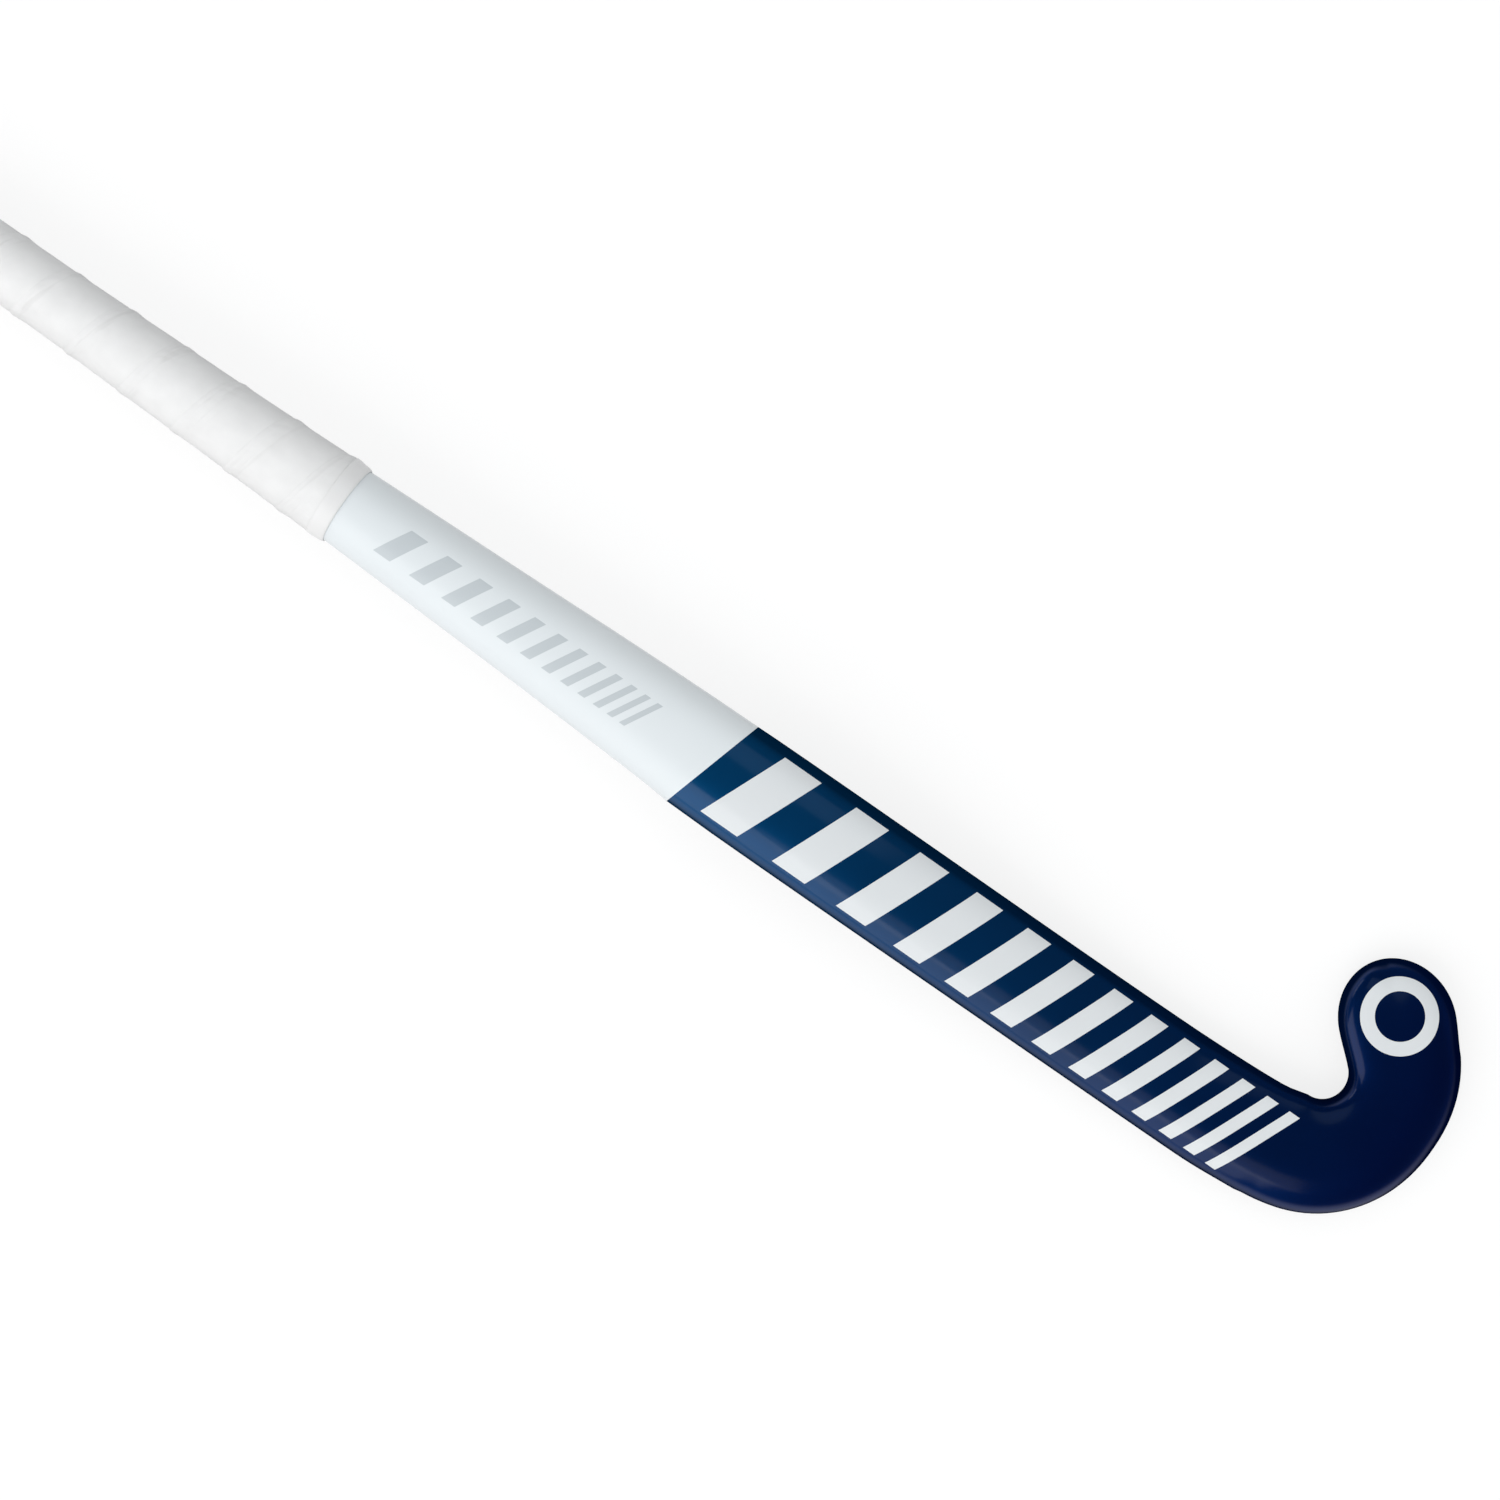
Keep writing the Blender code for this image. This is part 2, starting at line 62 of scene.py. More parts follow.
# %% Sizes of the whole stick
STICK_LENGTH = 0.889
GRIP_LENGTH = 0.4050
BOW_HEIGHT = 0.017
BOW_PEAK = 0.60
FACE_START = 0.80
BUTT_CLEARANCE = 0.0012
TOE_SIDE_EDGE = (
    (0.0, 0.0117), (0.250, 0.0117), (0.330, 0.0128), (0.385, 0.0143), (0.430, 0.0157),
    (0.490, 0.0176), (0.520, 0.0187), (0.550, 0.0195), (0.580, 0.0201), (0.620, 0.0205),
    (0.740, 0.0211), (0.785, 0.0216), (0.802, 0.0221), (0.828, 0.0236), (0.8377, 0.0258),
)
HEEL_SIDE_EDGE = (
    (0.0, 0.0130), (0.250, 0.0130), (0.330, 0.0145), (0.385, 0.0160), (0.430, 0.0174),
    (0.490, 0.0194), (0.520, 0.0206), (0.550, 0.0219), (0.575, 0.0232), (0.592, 0.0235),
    (0.676, 0.0233), (0.762, 0.0230), (0.809, 0.0226), (0.8377, 0.0206),
)
ORIGIN = (STICK_LENGTH / 2, 0.0342)
print("stick length:", STICK_LENGTH, "grip length:", GRIP_LENGTH)

# %% Sizes of the bent head
HEEL_REACH = 0.0513
NOTCH_X = STICK_LENGTH - HEEL_REACH
NOTCH_Y = 0.0359
NOTCH_RADIUS = 0.0101
HEEL_FULLNESS = 0.0040
HEEL_FULLNESS_POWER = 1.5
HEEL_FLARE = 0.0008
HEEL_FLARE_ANGLE = math.radians(15)
BEND_START = math.radians(-90)
BEND_END = math.radians(42)
TOE_STRAIGHT = 0.016
TOE_HALF_WIDTH = 0.0226
TOE_END_LENGTH = 0.0251
TOE_LEAN = 0.05
print("notch centre:", (round(NOTCH_X, 4), NOTCH_Y), "radius:", NOTCH_RADIUS)

# %% [markdown]
# ### The section
# Cut across, the handle is an oval. Towards the head it turns into a flat face with a full, round
# back. WIDEST is the height at which the section is widest, as a share of its thickness. EDGE is
# the share of the half width that rounds over to the face. POWER is the fullness of the back: 2
# draws an ellipse, and more draws squarer shoulders. Near the notch, the shoulder on the notch's
# side grows squarer still, because the light on the real one runs close along the notch's edge.

# %% Sizes of the section
HANDLE_THICKNESS = 0.0258
BLADE_THICKNESS = 0.0192
HANDLE_WIDEST, BLADE_WIDEST = 0.50, 0.37
HANDLE_EDGE, BLADE_EDGE = 1.0, 0.27
HANDLE_POWER, BLADE_POWER = 2.0, 2.7
SHAPE_START, SHAPE_END = 0.36, 0.77
SHOULDER_POWER = 4.6
SHOULDER_START = 0.79
SHOULDER_SHARE = 0.5
SKIN = 0.0008
LEAST_EDGE = 0.0008
print("thickness from", HANDLE_THICKNESS, "to", BLADE_THICKNESS)

# %% [markdown]
# ## Stations and sections
# A rib is one crosswise station: where its middle lies, which way the stick heads there, and the
# shape of the section. Three kinds follow each other: straight ones along the shaft, ones that
# fan round the notch, and those of the toe, the last of which close its round end. A bevelled
# curve could carry a section as well, but it can't change the section's shape on the way.

# %% Curves along the stick
Rib = namedtuple(
    "Rib", "middle heading across half end beta face thickness widest edge power shoulder"
)


def smooth_step(value, low, high):
    t = min(max((value - low) / (high - low), 0.0), 1.0)
    return t * t * (3 - 2 * t)


def mix(a, b, t):
    return a + (b - a) * t


def curve_through(stations, x):
    """A smooth curve through the stations that never overshoots them."""
    xs, ys = zip(*stations)
    if x <= xs[0]:
        return ys[0]
    if x >= xs[-1]:
        return ys[-1]
    steps = [(ys[i + 1] - ys[i]) / (xs[i + 1] - xs[i]) for i in range(len(xs) - 1)]
    slopes = [steps[0]]
    for before, after in zip(steps, steps[1:]):
        level = before * after <= 0
        slopes.append(0.0 if level else 2 * before * after / (before + after))
    slopes.append(steps[-1])
    i = max(k for k in range(len(xs) - 1) if xs[k] <= x)
    width = xs[i + 1] - xs[i]
    t = (x - xs[i]) / width
    ease = t * t * (3 - 2 * t)
    bend = width * t * (1 - t) * (slopes[i] * (1 - t) - slopes[i + 1] * t)
    return ys[i] * (1 - ease) + ys[i + 1] * ease + bend


def face_height(x):
    """The bow: how high the playing face stands above the ground."""
    if x <= BOW_PEAK:
        fall = (BOW_PEAK - x) / BOW_PEAK
        return BOW_HEIGHT - (BOW_HEIGHT - BUTT_CLEARANCE) * fall**2
    return BOW_HEIGHT * (1 - smooth_step(x, BOW_PEAK, FACE_START))


widths = [curve_through(edge, BOW_PEAK) for edge in (TOE_SIDE_EDGE, HEEL_SIDE_EDGE)]
print("shaft width where the bow peaks:", round(sum(widths), 4))

# %% Ribs
def make_rib(x, middle, heading, across, half, end=1.0, beta=0.0):
    """A rib whose section follows from how far along the stick it lies."""
    t = smooth_step(x, SHAPE_START, SHAPE_END)
    thickness = mix(HANDLE_THICKNESS, BLADE_THICKNESS, t)
    power = mix(HANDLE_POWER, BLADE_POWER, t)
    return Rib(
        middle, heading, across, half, end, beta, face_height(x), thickness,
        thickness * mix(HANDLE_WIDEST, BLADE_WIDEST, t),
        half * mix(HANDLE_EDGE, BLADE_EDGE, t),
        power,
        mix(power, SHOULDER_POWER, smooth_step(x, SHOULDER_START, NOTCH_X)),
    )


def straight_rib(x):
    toe_side = curve_through(TOE_SIDE_EDGE, x)
    heel_side = curve_through(HEEL_SIDE_EDGE, x)
    middle = (x, (toe_side - heel_side) / 2)
    return make_rib(x, middle, (1, 0), (0, 1), (toe_side + heel_side) / 2)


def bend_rib(angle):
    """A rib that points at the notch's centre."""
    flare = max(0.0, (BEND_START + HEEL_FLARE_ANGLE - angle) / HEEL_FLARE_ANGLE)
    heel = HEEL_REACH + HEEL_FULLNESS * abs(math.sin(angle)) ** HEEL_FULLNESS_POWER
    heel += HEEL_FLARE * flare**2
    out = (math.cos(angle), math.sin(angle))
    reach = (heel + NOTCH_RADIUS) / 2
    middle = (NOTCH_X + out[0] * reach, NOTCH_Y + out[1] * reach)
    half = (heel - NOTCH_RADIUS) / 2
    return make_rib(middle[0], middle, (-out[1], out[0]), (-out[0], -out[1]), half)


def toe_rib(along, beta=0.0):
    """A rib of the toe; beta turns it round the end, from straight across to the very tip."""
    last = bend_rib(BEND_END)
    heading = tuple(h + TOE_LEAN * a for h, a in zip(last.heading, last.across))
    middle = tuple(m + h * along for m, h in zip(last.middle, heading))
    half = mix(last.half, TOE_HALF_WIDTH, smooth_step(along, 0, TOE_STRAIGHT))
    return make_rib(STICK_LENGTH, middle, heading, last.across, half, TOE_END_LENGTH, beta)


print("half width at the heel:", round(bend_rib(0.0).half, 4))

# %% Section points
RING_POINTS = 96
ROUNDING = 1e-9


def section_point(rib, angle, depth):
    """A point of the section, seen from its middle at this angle, this far below the surface."""
    half = rib.half - depth
    offset = half * math.cos(rib.beta) * math.cos(angle)
    ratio = min(1.0, math.hypot(math.sin(rib.beta), offset / half))
    if math.sin(angle) > -ROUNDING:
        notch_side = smooth_step(offset / half, 0.0, SHOULDER_SHARE)
        power = mix(rib.power, rib.shoulder, notch_side)
        rise = (1 - ratio**power) ** (1 / power)
        height = rib.widest + (rib.thickness - depth - rib.widest) * rise
    else:
        edge = max(rib.edge - depth, LEAST_EDGE)
        past = min(1.0, max(0.0, (ratio * half - (half - edge)) / edge))
        height = rib.widest - (rib.widest - depth) * math.sqrt(1 - past**2)
    ahead = (rib.end - depth) * math.sin(rib.beta)
    x = rib.middle[0] + rib.heading[0] * ahead + rib.across[0] * offset
    y = rib.middle[1] + rib.heading[1] * ahead + rib.across[1] * offset
    return (x, y, rib.face + height)


def section_ring(rib, depth, slant=0.0):
    """The section as a ring of points; slant moves each point along by its distance sideways."""
    ring = []
    for i in range(RING_POINTS):
        x, y, z = section_point(rib, 2 * math.pi * i / RING_POINTS, depth)
        ring.append((x + slant * y, y, z))
    return ring


print("ring of the butt:", len(section_ring(straight_rib(0.0), 0.0)), "points")

# %% [markdown]
# ## Lofts
# A loft joins each ring to the next with a band of four-sided faces. By hand this would be one
# extrude and one scale for each station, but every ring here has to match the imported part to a
# small part of a millimetre, and its shape comes from a formula. So the points and faces are
# written straight into a mesh. Their order decides which way the faces look, so the normals are
# recalculated at the end.

# %% Helpers for lofts
def place(point):
    """From the stick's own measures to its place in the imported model."""
    return (point[0] - ORIGIN[0], point[1] - ORIGIN[1], point[2])


def finish_mesh(name, bm, sharp_angle):
    """Turns the mesh's faces outwards, shades it and puts it in the scene."""
    bmesh.ops.recalc_face_normals(bm, faces=bm.faces)
    mesh = bpy.data.meshes.new(name)
    bm.to_mesh(mesh)
    bm.free()
    mesh.shade_smooth()
    mesh.set_sharp_from_angle(angle=math.radians(sharp_angle))
    piece = bpy.data.objects.new(name, mesh)
    bpy.context.scene.collection.objects.link(piece)
    print(name, "has", len(mesh.polygons), "faces")
    return piece


def loft(name, rings, closed=False, sharp_angle=40):
    """A closed body through rings of equally many points, capped at its ends or joined up."""
    bm = bmesh.new()
    rows = [[bm.verts.new(place(point)) for point in ring] for ring in rings]
    pairs = list(zip(rows, rows[1:]))
    if closed:
        pairs.append((rows[-1], rows[0]))
    for near, far in pairs:
        for i in range(len(near)):
            j = (i + 1) % len(near)
            bm.faces.new((near[i], near[j], far[j], far[i]))
    if not closed:
        bm.faces.new(rows[0])
        bm.faces.new(rows[-1])
    return finish_mesh(name, bm, sharp_angle)


print("the butt's middle lies at", place((0.0, 0.0, 0.0)))

# %% [markdown]
# ## The lacquered skin
# The real skin is a sleeve of glass fibre and resin, sprayed white up to a slanted border and navy
# from there on. One piece with two colours would do for the eye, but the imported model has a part
# for each, so there are two that meet at the border with the same ring. Each is a loft that runs
# over the outside and comes back along the inside, which gives the sleeve its real wall.

# %% White shaft
BORDER_X = 0.5756
BORDER_SLANT = 0.288
BORDER_MARGIN = 0.014
GRIP_RING = 0.0048
SHAFT_STEPS = 40


def spread(low, high, count):
    """Evenly spaced values from low to high, both included."""
    return [mix(low, high, i / count) for i in range(count + 1)]


border = straight_rib(BORDER_X)


def skin_rings(ribs, depth):
    """A ring for each rib, this far below the surface; the ring of the border is slanted."""
    return [section_ring(rib, depth, BORDER_SLANT if rib is border else 0.0) for rib in ribs]


shaft_places = spread(GRIP_LENGTH - GRIP_RING, BORDER_X - BORDER_MARGIN, SHAFT_STEPS)
shaft_ribs = [straight_rib(x) for x in shaft_places] + [border]
shaft_rings = skin_rings(shaft_ribs, 0.0) + skin_rings(shaft_ribs, SKIN)[::-1]
white_shaft = loft("white_shaft_skin", shaft_rings, closed=True)
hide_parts("shaft_sheath")
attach(white_shaft, "root")

# %% Navy blade and head
BLADE_STEPS, BEND_STEPS = 64, 44
BEND_MARGIN = 0.003
TOE_SHARES = (0.2, 0.4, 0.6, 0.8)
TIP_ANGLES = (*range(0, 84, 4), 85, 87, 89)

blade_places = spread(BORDER_X + BORDER_MARGIN, NOTCH_X - BEND_MARGIN, BLADE_STEPS)
head_ribs = [border] + [straight_rib(x) for x in blade_places]
head_ribs += [bend_rib(angle) for angle in spread(BEND_START, BEND_END, BEND_STEPS)]
head_ribs += [toe_rib(TOE_STRAIGHT * share) for share in TOE_SHARES]
head_ribs += [toe_rib(TOE_STRAIGHT, math.radians(angle)) for angle in TIP_ANGLES]
navy_head = loft("navy_head_skin", skin_rings(head_ribs, 0.0)[::-1] + skin_rings(head_ribs, SKIN))
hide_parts("head_sheath")
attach(navy_head, "root")

# %% [markdown]
# ## The grip tape
# One long tape of soft synthetic leather is wound from the butt down, and each turn laps the one
# before by a few millimetres. Its edges are skived thin, so a lap shows as a seam with a low, round
# ridge beside it that sinks away over the next few millimetres. It could be drawn as a stack of
# rings, but then no turn would lead into the next. Here the section across the tape is a short
# table of places across it and heights over the handle, and it is carried along the winding in
# fine steps, as a hand would wind it.

# %% Sizes of the tape
TAPE_BASE = 0.00005
TAPE_THICKNESS = 0.0013
TAPE_WIDTH = 0.0288
TAPE_PITCH = 0.02525
TAPE_LAP = TAPE_WIDTH - TAPE_PITCH
TAPE_FIRST_ANGLE = math.radians(230)
TAPE_START = 0.0033
TAPE_GAP = 0.0003
TAPE_END = GRIP_LENGTH - GRIP_RING - TAPE_GAP
TAPE_STEPS = 120
TAPE_OUTSIDE = (
    (0.0, 0.00122), (0.0002, 0.00126), (0.0005, 0.00134), (0.0009, 0.00146),
    (0.0014, 0.00159), (0.0019, 0.00169), (0.0025, 0.00173), (TAPE_LAP, 0.00163),
    (TAPE_LAP + 0.0012, 0.00148), (TAPE_LAP + 0.0026, 0.00136), (0.008, TAPE_THICKNESS),
    (0.010, TAPE_THICKNESS), (0.012, TAPE_THICKNESS), (0.015, TAPE_THICKNESS),
    (0.018, TAPE_THICKNESS), (0.021, TAPE_THICKNESS), (0.0236, TAPE_THICKNESS),
    (0.0250, 0.00121), (TAPE_WIDTH, 0.00030),
)
TAPE_INSIDE = (
    (0.0, 0.00118), (TAPE_LAP, 0.00034), (TAPE_LAP + 0.0010, 0.0), (TAPE_WIDTH, 0.0),
)
print("turns:", round((TAPE_END - TAPE_START + TAPE_WIDTH) / TAPE_PITCH, 1))

# %% Winding
LEAST_STEP = 0.00004


def height_across(table, across):
    """The table's height at this distance from the tape's upper edge."""
    across = min(max(across, 0.0), TAPE_WIDTH)
    for near, far in zip(table, table[1:]):
        if across <= far[0]:
            return mix(near[1], far[1], (across - near[0]) / (far[0] - near[0]))
    return table[-1][1]


def tape_edge(turned):
    """Where the tape's upper edge lies along the handle, after turning this far."""
    return TAPE_START - TAPE_WIDTH + TAPE_PITCH * turned / (2 * math.pi)


def tape_row(table, turned):
    """Points across the tape at this turn, as (x, height, distance from the upper edge)."""
    edge = tape_edge(turned)
    count = len(table) - 1
    low = max(TAPE_START, edge)
    high = max(min(TAPE_END, edge + TAPE_WIDTH), low + count * LEAST_STEP)
    row = []
    for i, (across, _) in enumerate(table):
        x = min(max(edge + across, low + i * LEAST_STEP), high - (count - i) * LEAST_STEP)
        row.append((x, height_across(table, x - edge), x - edge))
    return row


print("the edge moves", round(tape_edge(2 * math.pi) - tape_edge(0.0), 5), "m each turn")

# %% [markdown]
# ### Lumps and wrinkles
# A hand-wound tape isn't perfect. Its surface has slow, low lumps from the one below, and short
# pull wrinkles run away from each lap. Bump in the material would catch the light but leave the
# outline smooth, so both are moves of the mesh itself, by a few tenths of a millimetre at most. The
# skived edges and the underside stay where they are, so that the turns still lie on each other.

# %% Lumps and wrinkles
LUMP = 0.00022
LUMPS_ALONG, LUMPS_AROUND = 70, 1.6
WRINKLE = 0.00030
WRINKLES_ALONG, WRINKLES_AROUND = 45, 9.0
WRINKLE_LEAN = 28
WRINKLE_RISE = (0.0004, 0.0015)
WRINKLE_FADE = (0.004, 0.013)
FULL_HEIGHT = 0.9 * TAPE_THICKNESS


def round_noise(x, angle, along, around):
    """Noise that closes on itself round the handle, with its own grain in each direction."""
    return noise.noise(Vector((x * along, math.cos(angle) * around, math.sin(angle) * around)))


def tape_point(x, angle, height, across):
    """A point of the tape in the stick's measures, with the lumps and wrinkles worked in."""
    sunk = LUMP * (0.5 + 0.5 * round_noise(x, angle, LUMPS_ALONG, LUMPS_AROUND))
    near_lap = smooth_step(across, *WRINKLE_RISE) * (1 - smooth_step(across, *WRINKLE_FADE))
    lean = angle + across * WRINKLE_LEAN
    sunk += WRINKLE * near_lap * abs(round_noise(x, lean, WRINKLES_ALONG, WRINKLES_AROUND))
    if height < FULL_HEIGHT:
        sunk = 0.0
    return section_point(straight_rib(x), angle, TAPE_BASE - height + sunk)


sample = round_noise(GRIP_LENGTH / 2, 0.0, LUMPS_ALONG, LUMPS_AROUND)
print("noise at the grip's middle:", round(sample, 3))

# %% Wound tape
HANDLE_RADIUS = 0.0135
FIRST_STEP = 4
LAST_WIDTH = 0.0008

bm = bmesh.new()
tape_uv = bm.loops.layers.uv.new("tape")
last_step = int((TAPE_END - TAPE_START + TAPE_WIDTH - LAST_WIDTH) / TAPE_PITCH * TAPE_STEPS)
rows, marks = [], []
for step in range(FIRST_STEP, last_step + 1):
    turned = 2 * math.pi * step / TAPE_STEPS
    angle = TAPE_FIRST_ANGLE - turned
    line = tape_row(TAPE_OUTSIDE, turned) + tape_row(TAPE_INSIDE, turned)[::-1]
    rows.append([bm.verts.new(place(tape_point(x, angle, h, across))) for x, h, across in line])
    marks.append([(across, turned * HANDLE_RADIUS) for _, _, across in line])
for i in range(len(rows) - 1):
    near, far = rows[i], rows[i + 1]
    for k in range(len(near)):
        j = (k + 1) % len(near)
        face = bm.faces.new((near[k], near[j], far[j], far[k]))
        corners = (marks[i][k], marks[i][j], marks[i + 1][j], marks[i + 1][k])
        for loop, corner in zip(face.loops, corners):
            loop[tape_uv].uv = corner
bm.faces.new(rows[0])
bm.faces.new(rows[-1])
grip = finish_mesh("wound_grip_tape", bm, sharp_angle=60)
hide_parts("grip_tape")
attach(grip, "root")

# %% [markdown]
# ## The film at the grip's lower end
# A narrow band of white film holds the end of the tape down. It laps a little way over the tape,
# follows the ridge of the last turn, and slopes down to the shaft, where it ends in a thin edge. A
# cylinder would be perfectly round and would stand off the oval handle, so this is a loft whose
# upper rings ask at each point how high the tape lies there.

# %% Film ring
FILM_LAP = 0.0020
FILM_THICKNESS = 0.00010
FILM_CLEARANCE = 0.00001
FILM_END = TAPE_END - 0.0001
FILM_SHARES = (0.05, 0.3, 0.65, 1.0)
FILM_SLOPE = (
    (TAPE_END + 0.0009, 0.00130), (GRIP_LENGTH - 0.0024, 0.00112), (GRIP_LENGTH - 0.0009, 0.00088),
    (GRIP_LENGTH - 0.0003, 0.00068), (GRIP_LENGTH, 0.00036), (GRIP_LENGTH, 0.00020),
)
FILM_UNDERSIDE = (TAPE_END + 0.0002, 0.0002)


def tape_top(x, angle):
    """Height of the uppermost turn at this place of the handle."""
    turned = (TAPE_FIRST_ANGLE - angle) % (2 * math.pi)
    turns = math.floor((x - tape_edge(turned)) / TAPE_PITCH)
    return height_across(TAPE_OUTSIDE, x - tape_edge(turned) - turns * TAPE_PITCH)


def film_ring_at(x, above):
    """A ring that lies this far above the tape."""
    rib = straight_rib(x)
    angles = [2 * math.pi * i / RING_POINTS for i in range(RING_POINTS)]
    return [section_point(rib, a, -TAPE_BASE - tape_top(x, a) - above) for a in angles]


film_start = TAPE_END - FILM_LAP
rings = [film_ring_at(FILM_END, FILM_CLEARANCE), film_ring_at(film_start, FILM_CLEARANCE)]
rings.append(film_ring_at(film_start, FILM_THICKNESS / 2))
for share in FILM_SHARES:
    rings.append(film_ring_at(mix(film_start, TAPE_END, share), FILM_THICKNESS))
for x, height in (*FILM_SLOPE, FILM_UNDERSIDE):
    rings.append(section_ring(straight_rib(x), -height))
film_ring = loft("grip_end_film", rings, closed=True, sharp_angle=60)
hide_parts("grip_ring")
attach(film_ring, "root")

# %% [markdown]
# ## The butt cap
# The cap is a moulded rubber disc. It could be spun from a profile, but a cylinder is quicker: it
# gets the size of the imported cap, and its outer rim is bevelled. Two insets and a short push make
# the shallow dish in the outer face, and a third inset keeps the dish's floor flat.

# %% Cylinder for the cap
CAP_THICKNESS = 0.003
cap_low, cap_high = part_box("butt_cap")
cap_middle = (cap_low + cap_high) / 2
bpy.ops.mesh.primitive_cylinder_add(
    vertices=RING_POINTS, radius=1, depth=CAP_THICKNESS, rotation=(0, math.radians(90), 0),
    location=(cap_low.x + CAP_THICKNESS / 2, cap_middle.y, cap_middle.z),
)
cap = bpy.context.object
cap.name = "rubber_butt_cap"
cap.data.name = "rubber_butt_cap"
bpy.ops.object.transform_apply(location=False, rotation=True, scale=True)
cap.scale = (1, (cap_high.y - cap_low.y) / 2, (cap_high.z - cap_low.z) / 2)
bpy.ops.object.transform_apply(location=True, rotation=True, scale=True)
print("cylinder faces:", len(cap.data.polygons))

# %% Rim and dish of the cap
CAP_ROUNDING = 0.0012
CAP_ROUNDING_STEPS = 5
CAP_RIM_WIDTH = 0.0030
DISH_WALL = 0.0006
DISH_DEPTH = 0.0006
DISH_MARGIN = 0.0040
FACES_BUTT, FACES_BUTT_SQUARELY = -0.9, -0.999
SAME_PLANE = 1e-5


def select_faces(obj, wanted):
    """Selects the faces whose centre and normal pass the test, in edit mode."""
    bpy.ops.mesh.select_all(action="DESELECT")
    edit = bmesh.from_edit_mesh(obj.data)
    for face in edit.faces:
        if wanted(face.calc_center_median(), face.normal):
            face.select_set(True)
    edit.select_flush(True)
    bmesh.update_edit_mesh(obj.data)


def on_outer_face(centre, normal):
    return normal.x < FACES_BUTT_SQUARELY and centre.x < cap_low.x + SAME_PLANE


bpy.ops.object.mode_set(mode="EDIT")
bpy.ops.mesh.select_mode(type="FACE")
select_faces(cap, lambda centre, normal: normal.x < FACES_BUTT)
bpy.ops.mesh.bevel(offset=CAP_ROUNDING, segments=CAP_ROUNDING_STEPS, affect="EDGES")
select_faces(cap, on_outer_face)
bpy.ops.mesh.inset(thickness=CAP_RIM_WIDTH)
bpy.ops.mesh.inset(thickness=DISH_WALL)
bpy.ops.transform.translate(value=(DISH_DEPTH, 0, 0))
bpy.ops.mesh.inset(thickness=DISH_MARGIN)
bpy.ops.object.mode_set(mode="OBJECT")
cap.data.shade_smooth()
cap.data.set_sharp_from_angle(angle=math.radians(50))
cap.select_set(False)
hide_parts("butt_cap")
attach(cap, "root")
print("cap faces:", len(cap.data.polygons))

# %% [markdown]
# ## Materials
# Every finish is made of nodes, because a pattern from nodes stays sharp however close the camera
# comes and needs no picture file. A few short helpers keep the node code readable. The first adds
# any node and fills in or links its sockets; each of the others adds one kind of node and gives
# back what comes out of it.

# %% Node helpers
def node(tree, kind, inputs=None, **settings):
    made = tree.nodes.new("ShaderNode" + kind)
    for name, value in settings.items():
        setattr(made, name, value)
    for socket, value in (inputs or {}).items():
        if isinstance(value, bpy.types.NodeSocket):
            tree.links.new(value, made.inputs[socket])
        else:
            made.inputs[socket].default_value = value
    return made


def maths(tree, operation, a, b=0.0, c=0.0):
    return node(tree, "Math", {0: a, 1: b, 2: c}, operation=operation).outputs[0]


def remap(tree, value, low, high, first, last, kind="LINEAR"):
    """Goes from first to last while the value goes from low to high, and stays there."""
    limits = {0: value, 1: low, 2: high, 3: first, 4: last}
    return node(tree, "MapRange", limits, interpolation_type=kind).outputs[0]


def blend(tree, share, first, second):
    """The first colour where the share is 0, the second where it is 1."""
    return node(tree, "MixRGB", {0: share, 1: first, 2: second}).outputs[0]


def scaled(tree, color, factor):
    """The colour made lighter or darker by a factor."""
    return node(tree, "VectorMath", {0: color, "Scale": factor}, operation="SCALE").outputs[0]


def mottle(tree, at, scale, detail):
    """Soft random clouds with values from 0 to 1."""
    return node(tree, "TexNoise", {"Vector": at, "Scale": scale, "Detail": detail}).outputs[0]


def stretched(tree, at, scale):
    """Places scaled by a different amount in each direction."""
    return node(tree, "Mapping", {"Vector": at, "Scale": scale}).outputs[0]


print("node helpers ready")

# %% [markdown]
# A group is a small node tree with named sockets that several materials can use, each with its own
# values. A material here has one Principled shader, and the helpers below link patterns to its
# sockets by name.

# %% Group helpers
def new_group(name, inputs, outputs):
    """An empty group, and the sockets that its nodes can take from and give to."""
    tree = bpy.data.node_groups.new(name, "ShaderNodeTree")
    for label, kind, value in inputs:
        socket = tree.interface.new_socket(label, in_out="INPUT", socket_type="NodeSocket" + kind)
        if value is not None:
            socket.default_value = value
    for label, kind in outputs:
        tree.interface.new_socket(label, in_out="OUTPUT", socket_type="NodeSocket" + kind)
    start = tree.nodes.new("NodeGroupInput").outputs
    end = tree.nodes.new("NodeGroupOutput").inputs
    return tree, start, end


def use_group(tree, group, **values):
    """Places a group in a material and sets or links its inputs by name."""
    made = tree.nodes.new("ShaderNodeGroup")
    made.node_tree = group
    for name, value in values.items():
        socket = made.inputs[name.replace("_", " ")]
        if isinstance(value, bpy.types.NodeSocket):
            tree.links.new(value, socket)
        else:
            socket.default_value = value
    return made.outputs


print("group helpers ready")

# %% Material helpers
BUMP_DISTANCE = 0.001


def new_material(name, roughness, **values):
    """A material with a Principled shader, and its fixed values set on the shader itself."""
    material = bpy.data.materials.new(name)
    material.use_nodes = True
    shader = material.node_tree.nodes["Principled BSDF"]
    shader.inputs["Roughness"].default_value = roughness
    for label, value in values.items():
        shader.inputs[label.replace("_", " ")].default_value = value
    return material, material.node_tree, shader


def feed(tree, shader, **patterns):
    """Links each pattern to the shader's socket of that name."""
    for label, pattern in patterns.items():
        tree.links.new(pattern, shader.inputs[label.replace("_", " ")])


def emboss(tree, shader, height, distance=BUMP_DISTANCE):
    """Lets the surface seem to rise where the pattern is high."""
    bump = node(tree, "Bump", {"Height": height, "Distance": distance})
    feed(tree, shader, Normal=bump.outputs[0])


def object_place(tree):
    return node(tree, "TexCoord").outputs["Object"]


